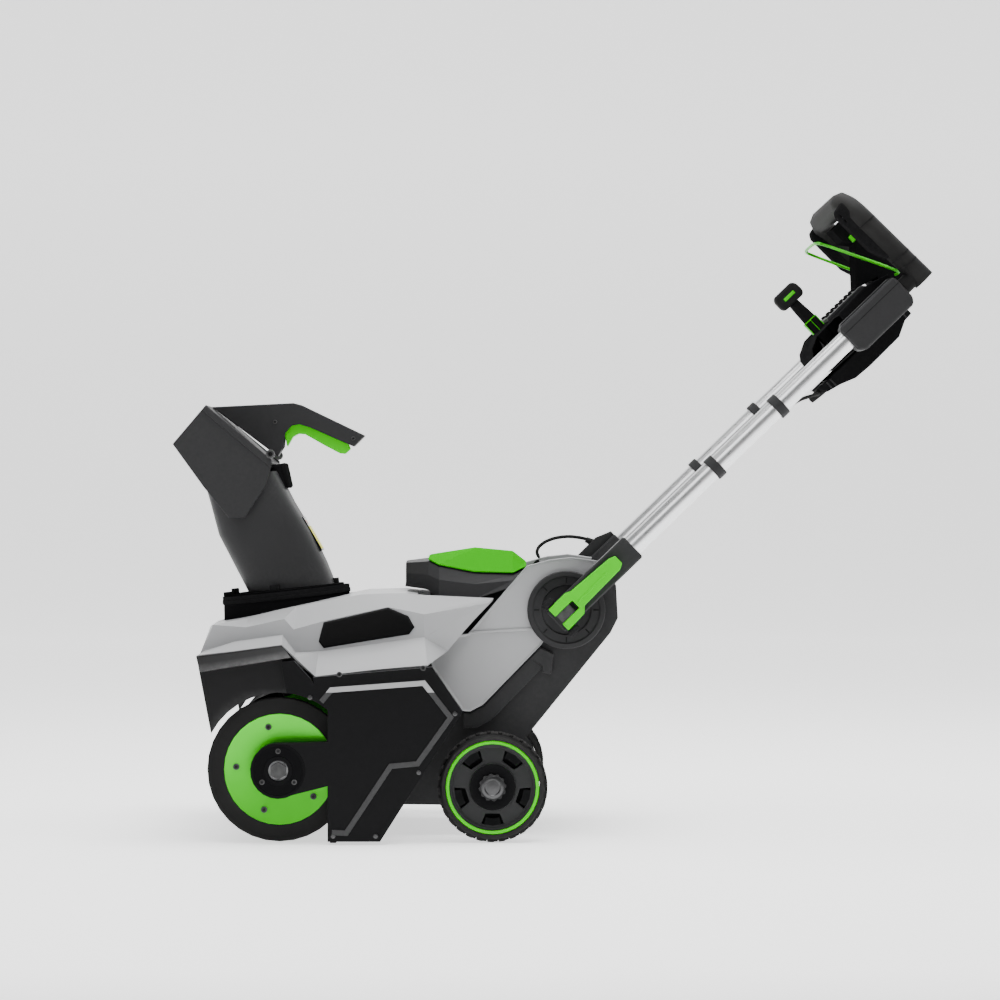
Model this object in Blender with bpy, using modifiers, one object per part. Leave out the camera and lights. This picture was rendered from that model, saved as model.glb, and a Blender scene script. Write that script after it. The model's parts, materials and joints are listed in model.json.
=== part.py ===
"""Walk-behind snow blower, built as separate named pieces in metres, +Z up.

+X is towards the person pushing, -X is the front, -Y is the machine's left side.
"""
import math
import bpy
import bmesh
from mathutils import Vector, Matrix

# ---------------------------------------------------------------- driving dimensions
ROTOR = (-0.424, 0.1185)         # rotor axis (x, z)
ROTOR_R = 0.1165
SHELL_R = 0.128                  # inside of the curved housing behind the rotor
CUT_R = 0.124                    # arc cut from the side walls over the rotor's end
HUB_R = 0.045
WALL_IN, WALL_OUT = 0.2590, 0.2630
COVER_IN, COVER_OUT = 0.2634, 0.2850
SHAFT_R = 0.010
MOTOR_AXIS = (-0.235, 0.150)
MOTOR_SHAFT_R = 0.005
WHEEL_C = (-0.081, 0.089)
WHEEL_R = 0.089
AXLE_R = 0.006
PIVOT = (0.0396, 0.372)          # handle pivot (x, z)
HANDLE_DEG = 44.0
TUBE_Y = 0.197
TUBE_R = 0.0165
CHUTE_C = (-0.431, 0.393)        # centre of the chute's turning flange
CHUTE_TILT_DEG = 6.0
DEFLECTOR_PIVOT = (-0.451, 0.6286)
LID_HINGE = (-0.0235, 0.4315)
ORIGIN_SHIFT = -0.0109           # puts the origin under the middle of the whole machine

LIME = (0.187, 0.890, 0.014)
BLACK = (0.013, 0.013, 0.014)
CHARCOAL = (0.042, 0.042, 0.044)
GREY = (0.56, 0.57, 0.58)
SILVER = (0.66, 0.67, 0.68)

# ---------------------------------------------------------------- scene set-up
for old in list(bpy.data.objects):
    bpy.data.objects.remove(old, do_unlink=True)

PARTS = bpy.data.collections.new("snow_blower")
CUTTERS = bpy.data.collections.new("cutters")
for collection in (PARTS, CUTTERS):
    bpy.context.scene.collection.children.link(collection)


# ---------------------------------------------------------------- helpers
def material(name, colour, roughness, metallic):
    mat = bpy.data.materials.new(name)
    mat.use_nodes = True
    shader = mat.node_tree.nodes["Principled BSDF"]
    shader.inputs["Base Color"].default_value = (*colour, 1.0)
    shader.inputs["Roughness"].default_value = roughness
    shader.inputs["Metallic"].default_value = metallic
    return mat


def empty(name, location, rotation_y_deg=0.0):
    holder = bpy.data.objects.new(name, None)
    holder.empty_display_size = 0.03
    holder.location = location
    holder.rotation_euler = (0.0, math.radians(rotation_y_deg), 0.0)
    PARTS.objects.link(holder)
    return holder


def finish(obj, look, smooth_deg=32.0):
    """Give a piece its material and shade its round faces smooth."""
    colour, roughness, metallic = look
    obj.data.materials.clear()
    obj.data.materials.append(material(obj.name, colour, roughness, metallic))
    limit = math.radians(smooth_deg)
    mesh = bmesh.new()
    mesh.from_mesh(obj.data)
    for face in mesh.faces:
        face.smooth = True
    for edge in mesh.edges:
        edge.smooth = len(edge.link_faces) == 2 and edge.calc_face_angle(0.0) < limit
    mesh.to_mesh(obj.data)
    mesh.free()
    return obj


def add_object(name, mesh, parent=None, cutter=False):
    obj = bpy.data.objects.new(name, mesh)
    (CUTTERS if cutter else PARTS).objects.link(obj)
    obj.parent = parent
    if cutter:
        obj.hide_render = True
        obj.display_type = "WIRE"
    return obj


def from_bmesh(name, mesh, parent=None, cutter=False):
    bmesh.ops.remove_doubles(mesh, verts=mesh.verts, dist=0.00002)
    bmesh.ops.recalc_face_normals(mesh, faces=mesh.faces)
    data = bpy.data.meshes.new(name)
    mesh.to_mesh(data)
    mesh.free()
    return add_object(name, data, parent, cutter)


def slab(name, outline, y0, y1, parent=None, cutter=False):
    """A flat outline in (x, z), filled and thickened from y0 to y1."""
    curve = bpy.data.curves.new(name, "CURVE")
    curve.dimensions = "2D"
    curve.fill_mode = "BOTH"
    curve.extrude = abs(y1 - y0) / 2
    spline = curve.splines.new("POLY")
    spline.points.add(len(outline) - 1)
    for point, (x, z) in zip(spline.points, outline):
        point.co = (x, z, 0.0, 1.0)
    spline.use_cyclic_u = True
    draft = bpy.data.objects.new(name + "_curve", curve)
    bpy.context.scene.collection.objects.link(draft)
    bpy.context.view_layer.update()
    graph = bpy.context.evaluated_depsgraph_get()
    data = bpy.data.meshes.new_from_object(draft.evaluated_get(graph))
    bpy.data.objects.remove(draft, do_unlink=True)
    upright = Matrix.Translation((0, (y0 + y1) / 2, 0)) @ Matrix.Rotation(math.pi / 2, 4, "X")
    mesh = bmesh.new()
    mesh.from_mesh(data)
    bmesh.ops.transform(mesh, matrix=upright, verts=mesh.verts)
    return from_bmesh(name, mesh, parent, cutter)


def revolve(name, profile, centre, segments=32, parent=None, cutter=False):
    """Spin a closed (radius, y) profile round a line along Y through centre (x, z)."""
    mesh = bmesh.new()
    rings = []
    for step in range(segments):
        angle = 2 * math.pi * step / segments
        rings.append([mesh.verts.new((centre[0] + r * math.cos(angle), y, centre[1] + r * math.sin(angle)))
                      for r, y in profile])
    count = len(profile)
    for step in range(segments):
        here, there = rings[step], rings[(step + 1) % segments]
        for k in range(count):
            face = [here[k], here[(k + 1) % count], there[(k + 1) % count], there[k]]
            mesh.faces.new(face)
    return from_bmesh(name, mesh, parent, cutter)


def rod(name, start, end, radius, segments=24, parent=None, cutter=False, radius_end=None):
    """A round bar between two points."""
    start, end = Vector(start), Vector(end)
    along = end - start
    turn = along.to_track_quat("Z", "Y").to_matrix().to_4x4()
    place = Matrix.Translation((start + end) / 2) @ turn
    mesh = bmesh.new()
    bmesh.ops.create_cone(mesh, cap_ends=True, segments=segments, radius1=radius,
                          radius2=radius if radius_end is None else radius_end,
                          depth=along.length, matrix=place)
    return from_bmesh(name, mesh, parent, cutter)


def block(name, low, high, parent=None, cutter=False, bevel=0.0):
    mesh = bmesh.new()
    size = [b - a for a, b in zip(low, high)]
    middle = [(a + b) / 2 for a, b in zip(low, high)]
    place = Matrix.Translation(middle) @ Matrix.Diagonal((*size, 1.0))
    bmesh.ops.create_cube(mesh, size=1.0, matrix=place)
    obj = from_bmesh(name, mesh, parent, cutter)
    if bevel:
        soften(obj, bevel)
    return obj


def loft(name, sections, parent=None, closed=True, capped=True, cutter=False):
    """Join sections with the same number of points; closed rings may have end caps."""
    mesh = bmesh.new()
    rows = [[mesh.verts.new(p) for p in section] for section in sections]
    count = len(rows[0])
    for here, there in zip(rows, rows[1:]):
        for k in range(count if closed else count - 1):
            n = (k + 1) % count
            mesh.faces.new([here[k], here[n], there[n], there[k]])
    if closed and capped:
        mesh.faces.new(rows[0])
        mesh.faces.new(list(reversed(rows[-1])))
    return from_bmesh(name, mesh, parent, cutter)


def wire(name, points, radius, parent=None, sides=2, cyclic=False):
    """A round cable or bar through points, with filled ends."""
    curve = bpy.data.curves.new(name, "CURVE")
    curve.dimensions = "3D"
    curve.bevel_depth = radius
    curve.bevel_resolution = sides
    curve.use_fill_caps = True
    spline = curve.splines.new("POLY")
    spline.points.add(len(points) - 1)
    for point, co in zip(spline.points, points):
        point.co = (*co, 1.0)
    spline.use_cyclic_u = cyclic
    draft = bpy.data.objects.new(name + "_curve", curve)
    bpy.context.scene.collection.objects.link(draft)
    bpy.context.view_layer.update()
    graph = bpy.context.evaluated_depsgraph_get()
    data = bpy.data.meshes.new_from_object(draft.evaluated_get(graph))
    bpy.data.objects.remove(draft, do_unlink=True)
    mesh = bmesh.new()
    mesh.from_mesh(data)
    return from_bmesh(name, mesh, parent)


def boolean(obj, tool, operation):
    mod = obj.modifiers.new(tool.name, "BOOLEAN")
    mod.operation = operation
    mod.solver = "EXACT"
    mod.object = tool
    return obj


def cut(obj, *tools):
    for tool in tools:
        boolean(obj, tool, "DIFFERENCE")
    return obj


def join(obj, *tools):
    for tool in tools:
        boolean(obj, tool, "UNION")
    return obj


def soften(obj, width, segments=1, angle_deg=30.0):
    mod = obj.modifiers.new("bevel", "BEVEL")
    mod.width = width
    mod.segments = segments
    mod.limit_method = "ANGLE"
    mod.angle_limit = math.radians(angle_deg)
    mod.use_clamp_overlap = True
    return obj


def facet(obj):
    """Split a twisted piece's four-sided faces into flat triangles."""
    mesh = bmesh.new()
    mesh.from_mesh(obj.data)
    bmesh.ops.triangulate(mesh, faces=mesh.faces)
    mesh.to_mesh(obj.data)
    mesh.free()
    return obj


def arc(centre, radius, start_deg, end_deg, steps):
    points = []
    for k in range(steps + 1):
        angle = math.radians(start_deg + (end_deg - start_deg) * k / steps)
        points.append((centre[0] + radius * math.cos(angle), centre[1] + radius * math.sin(angle)))
    return points


def inset(outline, distance):
    """Move every side of an anticlockwise outline inwards by the distance."""
    area = sum(a[0] * b[1] - b[0] * a[1] for a, b in zip(outline, outline[1:] + outline[:1]))
    sign = 1.0 if area > 0 else -1.0
    result = []
    for before, here, after in zip(outline[-1:] + outline[:-1], outline, outline[1:] + outline[:1]):
        d1 = Vector((here[0] - before[0], here[1] - before[1])).normalized()
        d2 = Vector((after[0] - here[0], after[1] - here[1])).normalized()
        n1 = Vector((-d1.y, d1.x)) * sign
        n2 = Vector((-d2.y, d2.x)) * sign
        half = (n1 + n2) / max(0.35, 1.0 + n1.dot(n2))
        result.append((here[0] + half.x * distance, here[1] + half.y * distance))
    return result


def band(points, width):
    """The outline of a strip of constant width along an open line."""
    left, right = [], []
    for k, here in enumerate(points):
        before = points[max(k - 1, 0)]
        after = points[min(k + 1, len(points) - 1)]
        d1 = Vector((here[0] - before[0], here[1] - before[1]))
        d2 = Vector((after[0] - here[0], after[1] - here[1]))
        d1 = (d1 if d1.length else d2).normalized()
        d2 = (d2 if d2.length else d1).normalized()
        n1, n2 = Vector((-d1.y, d1.x)), Vector((-d2.y, d2.x))
        off = (n1 + n2) / (1.0 + n1.dot(n2)) * width / 2
        left.append((here[0] + off.x, here[1] + off.y))
        right.append((here[0] - off.x, here[1] - off.y))
    return left + right[::-1]


def sided(y0, y1, side):
    """A pair of distances from the middle, as y values on one side (-1 left, 1 right)."""
    return sorted((side * y0, side * y1))


SIDES = (("left", -1), ("right", 1))

# ---------------------------------------------------------------- rotor housing
ROOF = [(-0.5565, 0.2960), (-0.4195, 0.3130), (-0.3985, 0.2910), (-0.3660, 0.2570)]
TONGUE = [(-0.3450, 0.0940)] + arc(ROTOR, HUB_R, -60, -276, 14) + [(-0.3450, 0.1650)]
WALL_ROOF = [(-0.5570, 0.3000), (-0.4200, 0.3178), (-0.3990, 0.2955), (-0.3665, 0.2600)]
WALL = (WALL_ROOF + [(-0.3640, 0.2650), (-0.1800, 0.2805), (-0.1330, 0.2130), (-0.2620, 0.0080), (-0.3450, 0.0080)]
        + TONGUE + [(-0.3450, 0.2130)] + arc(ROTOR, CUT_R, 51, 152, 10))


def shell_profile():
    outer = ROOF + [(-0.3400, 0.2350)] + arc(ROTOR, SHELL_R + 0.004, 45, -45, 8)
    inner = arc(ROTOR, SHELL_R, -45, 45, 8) + [(-0.3435, 0.2330), (-0.3690, 0.2543)]
    inner += [(-0.4015, 0.2885), (-0.4212, 0.3098), (-0.5565, 0.2930)]
    return outer + inner


RAIL_FRONT, RAIL_REAR = (-0.5580, 0.3010), (-0.4200, 0.3185)
housing = slab("auger_housing", shell_profile(), -0.2605, 0.2605)
for side_name, side in SIDES:
    join(housing, slab("wall_" + side_name, WALL, *sided(WALL_IN, WALL_OUT, side), cutter=True))
chute_axis = Vector((-math.sin(math.radians(CHUTE_TILT_DEG)), 0, math.cos(math.radians(CHUTE_TILT_DEG))))
chute_centre = Vector((CHUTE_C[0], 0, CHUTE_C[1]))
for side_name, side in SIDES:       # sloping trims along the hood's top corners
    front = [(RAIL_FRONT[0], 0.2612, RAIL_FRONT[1]), (RAIL_FRONT[0] + 0.008, 0.2800, RAIL_FRONT[1] - 0.024),
             (RAIL_FRONT[0] + 0.008, 0.2612, RAIL_FRONT[1] - 0.026)]
    rear = [(RAIL_REAR[0], 0.2612, RAIL_REAR[1]), (RAIL_REAR[0] + 0.0155, 0.2800, RAIL_REAR[1] - 0.0190),
            (RAIL_REAR[0] + 0.0155, 0.2612, RAIL_REAR[1] - 0.0210)]
    join(housing, loft("hood_rail_" + side_name, [[(x, y * side, z) for x, y, z in s] for s in (front, rear)],
                       cutter=True))
cut(housing, rod("throat_cutter", chute_centre - chute_axis * 0.165, chute_centre, 0.0735, 32, cutter=True))
cut(housing, rod("bearing_cutter", (ROTOR[0], -0.3, ROTOR[1]), (ROTOR[0], 0.3, ROTOR[1]), 0.0163, 32, cutter=True))
cut(housing, rod("motor_shaft_cutter", (MOTOR_AXIS[0], -0.3, MOTOR_AXIS[1]),
                 (MOTOR_AXIS[0], -0.2, MOTOR_AXIS[1]), 0.0080, 24, cutter=True))
finish(housing, (BLACK, 0.38, 0.0))

# ---------------------------------------------------------------- side covers
COVER = ([(-0.4195, 0.2930), (-0.3985, 0.2940), (-0.3665, 0.2590), (-0.3690, 0.2680), (-0.1780, 0.2845),
          (-0.1290, 0.2130), (-0.2610, 0.0050), (-0.3450, 0.0050)] + TONGUE + [(-0.3450, 0.2145)]
         + arc(ROTOR, CUT_R + 0.0015, 51, 84, 4))
RIB = [(-0.3380, 0.0200), (-0.3150, 0.0190), (-0.2440, 0.1260), (-0.2010, 0.1300), (-0.1480, 0.2040),
       (-0.1910, 0.2590), (-0.3390, 0.2480), (-0.3550, 0.2290)]
for side_name, side in SIDES:
    cover = slab("side_cover_" + side_name, COVER, *sided(COVER_IN, COVER_OUT, side))
    pocket = slab("pocket_" + side_name, inset(COVER, 0.0028), *sided(COVER_IN - 0.004, COVER_OUT - 0.0028, side),
                  cutter=True)
    rib = slab("rib_" + side_name, band(RIB, 0.0085), *sided(COVER_OUT - 0.001, COVER_OUT + 0.0020, side),
               cutter=True)
    bolt_hole = rod("hub_hole_" + side_name, (ROTOR[0], 0.2 * side, ROTOR[1]), (ROTOR[0], 0.3 * side, ROTOR[1]),
                    0.0160, 24, cutter=True)
    join(cover, rib)
    cut(cover, pocket, bolt_hole)
    finish(cover, (BLACK, 0.42, 0.0))

SCRAPER = (arc(ROTOR, SHELL_R + 0.0043, -30, -45, 2) + [(-0.3435, 0.0), (-0.3325, 0.0)]
           + arc(ROTOR, SHELL_R + 0.0083, -45, -30, 2))
finish(slab("scraper_blade", SCRAPER, -0.2580, 0.2580), (BLACK, 0.55, 0.0))

# ---------------------------------------------------------------- rotor
SPIN = empty("auger_spin_axis", (ROTOR[0], 0, ROTOR[1]))
HERE = (0.0, 0.0)                # the rotor's pieces are drawn round its own axis
shaft = rod("auger_shaft", (0, -0.2820, 0), (0, 0.2820, 0), SHAFT_R, 32, SPIN)
for side_name, side in SIDES:
    join(shaft, rod("end_bolt_" + side_name, (0, 0.2810 * side, 0), (0, 0.2868 * side, 0), 0.0145, 6, SPIN, True))
finish(shaft, (SILVER, 0.35, 1.0))
for side_name, side in SIDES:
    disc_profile = [(SHAFT_R + 0.0003, 0.2440), (0.0440, 0.2440), (0.0895, 0.2505), (0.0895, 0.2540),
                    (0.0440, 0.2480), (SHAFT_R + 0.0003, 0.2520)]
    disc = revolve("auger_disc_" + side_name, [(r, y * side) for r, y in disc_profile], HERE, 32, SPIN)
    finish(disc, (LIME, 0.28, 0.55))
    ring_profile = [(0.0898, 0.2440), (0.1145, 0.2440), (ROTOR_R, 0.2460), (ROTOR_R, 0.2530),
                    (0.1145, 0.2550), (0.0898, 0.2550)]
    ring = revolve("auger_ring_" + side_name, [(r, y * side) for r, y in ring_profile], HERE, 32, SPIN)
    finish(ring, (BLACK, 0.62, 0.0))
    bearing_profile = [(SHAFT_R + 0.00008, 0.2570), (0.0160, 0.2570), (0.0160, 0.2655),
                       (SHAFT_R + 0.00008, 0.2655)]
    bearing = revolve("auger_bearing_" + side_name, [(r, y * side) for r, y in bearing_profile], ROTOR, 32)
    finish(bearing, (SILVER, 0.35, 1.0))

PADDLE_IN, PADDLE_OUT, PADDLE_HALF, PADDLE_T = 0.0125, 0.1140, 0.2425, 0.008


def paddle_sections(phase_deg):
    """Rubber paddle twisted from both ends towards a flat throwing middle."""
    sections = []
    for k in range(11):
        y = -PADDLE_HALF + 2 * PADDLE_HALF * k / 10
        sweep = max(0.0, abs(y) - 0.045) / (PADDLE_HALF - 0.045)
        lean = math.radians(phase_deg + 62 * sweep)
        out = Vector((math.cos(lean), 0, math.sin(lean)))
        side_way = Vector((-math.sin(lean), 0, math.cos(lean)))
        corners = []
        for radius, offset in ((PADDLE_IN, -PADDLE_T / 2), (PADDLE_OUT, -PADDLE_T / 2),
                               (PADDLE_OUT, PADDLE_T / 2), (PADDLE_IN, PADDLE_T / 2)):
            point = out * radius + side_way * offset
            corners.append((point.x, y, point.z))
        sections.append(corners)
    return sections


for tag, phase in (("a", 100.0), ("b", 280.0)):
    finish(facet(loft("auger_paddle_" + tag, paddle_sections(phase), SPIN)), (BLACK, 0.7, 0.0))

PULLEY_R, PINION_R, BELT_T = 0.0330, 0.0140, 0.0035
groove = [(SHAFT_R + 0.0003, -0.2665), (PULLEY_R + 0.0035, -0.2665), (PULLEY_R, -0.2685), (PULLEY_R, -0.2765),
          (PULLEY_R + 0.0035, -0.2785), (SHAFT_R + 0.0003, -0.2785)]
finish(revolve("auger_pulley", groove, HERE, 28, SPIN), (SILVER, 0.4, 1.0))

motor_end = -WALL_IN + 0.0004
motor_profile = [(MOTOR_SHAFT_R + 0.00008, motor_end), (0.0400, motor_end), (0.0440, motor_end + 0.004),
                 (0.0440, motor_end + 0.095), (0.0380, motor_end + 0.100), (MOTOR_SHAFT_R + 0.00008, motor_end + 0.100)]
finish(revolve("motor", motor_profile, MOTOR_AXIS, 24), (SILVER, 0.5, 0.9))
MOTOR_SPIN = empty("motor_spin_axis", (MOTOR_AXIS[0], 0, MOTOR_AXIS[1]))
pinion = revolve("motor_pulley", [(0.0015, -0.1700), (MOTOR_SHAFT_R, -0.1700), (MOTOR_SHAFT_R, -0.2665),
                                  (PINION_R + 0.0035, -0.2665), (PINION_R, -0.2685), (PINION_R, -0.2765),
                                  (PINION_R + 0.0035, -0.2785), (0.0015, -0.2785)], HERE, 24, MOTOR_SPIN)
finish(pinion, (SILVER, 0.4, 1.0))


def belt_line(extra):
    """The outline of the belt round both pulleys, at a distance outside their grooves."""
    dx, dz = MOTOR_AXIS[0] - ROTOR[0], MOTOR_AXIS[1] - ROTOR[1]
    heading = math.degrees(math.atan2(dz, dx))
    spread = math.degrees(math.acos((PULLEY_R - PINION_R) / math.hypot(dx, dz)))
    big = arc(ROTOR, PULLEY_R + extra, heading + spread, heading + 360 - spread, 14)
    small = arc(MOTOR_AXIS, PINION_R + extra, heading - spread, heading + spread, 8)
    return big + small


belt = slab("drive_belt", belt_line(0.0004 + BELT_T), -0.2762, -0.2688)
cut(belt, slab("belt_inside", belt_line(0.0004), -0.30, -0.25, cutter=True))
finish(belt, (BLACK, 0.75, 0.0))

# ---------------------------------------------------------------- deck
TOP_Y, EDGE_Y, SKIRT_Y = 0.150, 0.205, 0.256
DECK = (    # top line, bevel's lower edge, side band's lower edge, skirt's lower edge: (x, z) at each station
    ((-0.5570, 0.3020), (-0.5570, 0.3020), (-0.5572, 0.3020), (-0.5574, 0.3018)),
    ((-0.5450, 0.3480), (-0.5360, 0.3490), (-0.5490, 0.3070), (-0.5500, 0.3028)),
    ((-0.4830, 0.3610), (-0.4830, 0.3450), (-0.5000, 0.3220), (-0.4950, 0.3090)),
    ((-0.4300, 0.3740), (-0.4200, 0.3585), (-0.4230, 0.3330), (-0.4205, 0.3190)),
    ((-0.4050, 0.3790), (-0.4050, 0.3415), (-0.4010, 0.3040), (-0.3995, 0.2990)),
    ((-0.3560, 0.3890), (-0.3560, 0.3550), (-0.3640, 0.3060), (-0.3665, 0.2680)),
    ((-0.2960, 0.4000), (-0.2510, 0.3780), (-0.2640, 0.3195), (-0.2700, 0.2790)),
    ((-0.2300, 0.4020), (-0.2150, 0.3710), (-0.2280, 0.3250), (-0.2250, 0.2830)),
    ((-0.1930, 0.3980), (-0.1930, 0.3660), (-0.1920, 0.3290), (-0.1860, 0.2860)),
    ((-0.0800, 0.3930), (-0.0860, 0.3840), (-0.1280, 0.3370), (-0.1540, 0.3060)),
)
TAIL_Y = (0.150, 0.178, 0.180, 0.181)


def deck_section(station, last):
    widths = TAIL_Y if last else (TOP_Y, EDGE_Y, EDGE_Y, SKIRT_Y)
    top, bevel, bandline, skirt = station
    half = [(skirt[0], widths[3], skirt[1]), (bandline[0], widths[2], bandline[1]),
            (bevel[0], widths[1], bevel[1]), (top[0], widths[0], top[1] - 0.003)]
    left = [(x, -y, z) for x, y, z in half]
    right = list(reversed(half))
    return left + [(top[0], 0.0, top[1])] + right


deck = loft("deck_shell", [deck_section(s, s is DECK[-1]) for s in DECK], closed=False)
solid = deck.modifiers.new("shell", "SOLIDIFY")
solid.thickness = 0.003
solid.offset = -1.0
cut(deck, rod("deck_chute_cutter", chute_centre - chute_axis * 0.12, chute_centre + chute_axis * 0.05, 0.1125, 32,
              cutter=True))
cut(deck, block("bay_cutter", (-0.205, -0.1345, 0.30), (0.05, 0.1345, 0.50), cutter=True))
finish(deck, (GREY, 0.35, 0.0))

# ---------------------------------------------------------------- rear frame and fairings
FRAME = [(-0.2880, 0.0520), (-0.1300, 0.0500), (-0.0620, 0.0680), (-0.0400, 0.1000), (-0.0280, 0.1600),
         (0.1130, 0.3340), (0.1250, 0.3580), (0.1220, 0.4120), (0.0950, 0.4480), (-0.0050, 0.4480),
         (-0.0280, 0.4250), (-0.1080, 0.3300), (-0.2880, 0.2500)]
frame = slab("rear_frame", FRAME, -0.1497, 0.1497)
tub = inset(FRAME, 0.004)
tub_open = tub[:8] + [(0.0920, 0.4440), (-0.0010, 0.4440), (-0.0230, 0.60), (-0.2200, 0.60), (-0.2840, 0.50)]
cut(frame, slab("tub_cutter", tub_open, -0.1457, 0.1457, cutter=True))
cut(frame, rod("axle_cutter", (WHEEL_C[0], -0.3, WHEEL_C[1]), (WHEEL_C[0], 0.3, WHEEL_C[1]), AXLE_R + 0.0003, 24,
               cutter=True))
finish(frame, (BLACK, 0.45, 0.0))

FAIRING = [(-0.1940, 0.3220), (-0.1210, 0.3330), (-0.0250, 0.4440), (0.0130, 0.4540), (0.0490, 0.4580),
           (0.0920, 0.4520), (-0.0020, 0.3140), (-0.0970, 0.2160), (-0.1180, 0.2050), (-0.1300, 0.2060),
           (-0.1800, 0.2780)]
FAIRING_OUT = 0.1680
for side_name, side in SIDES:
    fairing = slab("rear_fairing_" + side_name, FAIRING, *sided(0.1501, FAIRING_OUT, side))
    cut(fairing, slab("fairing_pocket_" + side_name, inset(FAIRING, 0.003), *sided(0.1400, FAIRING_OUT - 0.003, side),
                      cutter=True))
    finish(fairing, (GREY, 0.4, 0.0))
    disc_profile = [(0.0066, 0.1683), (0.0640, 0.1683), (0.0640, 0.1740), (0.0600, 0.1765), (0.0410, 0.1765),
                    (0.0387, 0.1745), (0.0066, 0.1745)]
    pivot_disc = revolve("pivot_disc_" + side_name, [(r, y * side) for r, y in disc_profile], PIVOT, 32)
    finish(pivot_disc, (CHARCOAL, 0.5, 0.0))

# ---------------------------------------------------------------- batteries and lid
for side_name, side in SIDES:
    y0, y1 = sided(0.0060, 0.1020, side)
    battery = block("battery_" + side_name, (-0.1850, y0, 0.3000), (-0.0600, y1, 0.4130), bevel=0.006)
    finish(battery, (CHARCOAL, 0.5, 0.0))

LID = (     # at each station: x and (y, z) of bottom edge, side, top edge, crown
    (-0.2265, (0.066, 0.4095), (0.070, 0.4300), (0.064, 0.4470), (0.030, 0.4495)),
    (-0.1880, (0.112, 0.4030), (0.114, 0.4280), (0.102, 0.4500), (0.048, 0.4540)),
    (-0.1700, (0.131, 0.3850), (0.126, 0.4200), (0.115, 0.4410), (0.055, 0.4570)),
    (-0.1120, (0.131, 0.3880), (0.124, 0.4130), (0.112, 0.4295), (0.058, 0.4660)),
    (-0.0480, (0.131, 0.4090), (0.124, 0.4190), (0.112, 0.4275), (0.058, 0.4600)),
    (-0.0260, (0.125, 0.4310), (0.122, 0.4345), (0.110, 0.4380), (0.058, 0.4430)),
)
LID_AXIS = empty("lid_hinge_axis", (LID_HINGE[0], 0, LID_HINGE[1]))


def lid_section(station, lift=0.0, first=0):
    x, points = station[0], station[1:][first:]
    left = [(x - LID_HINGE[0], -y, z + lift - LID_HINGE[1]) for y, z in points]
    right = [(px, -py, pz) for px, py, pz in reversed(left)]
    return left + right


front_x = LID[0][0] + 0.0015
sections = [[(front_x - LID_HINGE[0], p[1] * 0.96, 0.4085 - LID_HINGE[1]) for p in lid_section(LID[0])]]
sections += [lid_section(station) for station in LID]
lid = loft("battery_lid", sections, LID_AXIS, closed=False)
solid = lid.modifiers.new("shell", "SOLIDIFY")
solid.thickness = 0.003
solid.offset = -1.0
finish(lid, (CHARCOAL, 0.4, 0.0), 20)
panel = loft("lid_panel", [lid_section(station, 0.0029, 2) for station in LID[1:]], LID_AXIS, closed=False)
solid = panel.modifiers.new("shell", "SOLIDIFY")
solid.thickness = 0.0022
solid.offset = -1.0
finish(panel, (LIME, 0.3, 0.0), 20)

# ---------------------------------------------------------------- wheels
for side_name, side in SIDES:
    axis = empty("wheel_axis_" + side_name, (WHEEL_C[0], 0, WHEEL_C[1]))
    tyre_profile = [(0.0762, 0.2150), (0.0840, 0.2140), (WHEEL_R, 0.2190), (WHEEL_R, 0.2500), (0.0840, 0.2560),
                    (0.0762, 0.2550)]
    finish(revolve("tyre_" + side_name, [(r, y * side) for r, y in tyre_profile], HERE, 32, axis),
           (BLACK, 0.75, 0.0))
    rim_profile = [(AXLE_R + 0.00008, 0.2230), (0.0340, 0.2230), (0.0370, 0.2330), (0.0650, 0.2330),
                   (0.0660, 0.2180), (0.0757, 0.2180), (0.0757, 0.2490), (0.0670, 0.2490), (0.0640, 0.2440),
                   (0.0380, 0.2460), (0.0370, 0.2500), (AXLE_R + 0.00008, 0.2500)]
    rim = revolve("rim_" + side_name, [(r, y * side) for r, y in rim_profile], HERE, 30, axis)
    for k in range(5):
        middle = 54 + 72 * k
        window = slab("window_%s_%d" % (side_name, k), arc(HERE, 0.0443, middle - 15, middle + 15, 1)
                      + arc(HERE, 0.0622, middle + 17, middle - 17, 2), *sided(0.21, 0.27, side), axis, True)
        cut(rim, window)
    finish(rim, (CHARCOAL, 0.45, 0.0))
    ring_profile = [(0.0700, 0.2493), (0.0757, 0.2493), (0.0757, 0.2535), (0.0740, 0.2550), (0.0700, 0.2550)]
    finish(revolve("wheel_ring_" + side_name, [(r, y * side) for r, y in ring_profile], HERE, 36, axis),
           (LIME, 0.3, 0.0))
finish(rod("axle", (WHEEL_C[0], -0.2510, WHEEL_C[1]), (WHEEL_C[0], 0.2510, WHEEL_C[1]), AXLE_R, 30),
       (SILVER, 0.35, 1.0))

# ---------------------------------------------------------------- chute
base_profile = [(0.0770, -0.0650), (0.1120, -0.0650), (0.1070, -0.0070), (0.1090, -0.0065), (0.1090, 0.0000),
                (0.0770, 0.0000)]
flange_profile = [(0.0615, 0.0004), (0.1080, 0.0004), (0.1080, 0.0062), (0.0990, 0.0066), (0.0990, 0.0095),
                  (0.0615, 0.0095)]
tilt = Matrix.Translation(chute_centre) @ Matrix.Rotation(math.radians(-CHUTE_TILT_DEG), 4, "Y") \
    @ Matrix.Rotation(math.pi / 2, 4, "X")
base = revolve("chute_base", base_profile, HERE, 36)
base.data.transform(tilt)
finish(base, (CHARCOAL, 0.45, 0.0))
CHUTE_TURN = empty("chute_turn_axis", chute_centre, -CHUTE_TILT_DEG)
ring = revolve("chute_ring", flange_profile, HERE, 36, CHUTE_TURN)
ring.data.transform(Matrix.Rotation(math.pi / 2, 4, "X"))
join(ring, block("ring_lug", (-0.1030, -0.0320, 0.0060), (-0.0840, -0.0120, 0.0140), CHUTE_TURN, cutter=True))
finish(ring, (BLACK, 0.4, 0.0))

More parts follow.
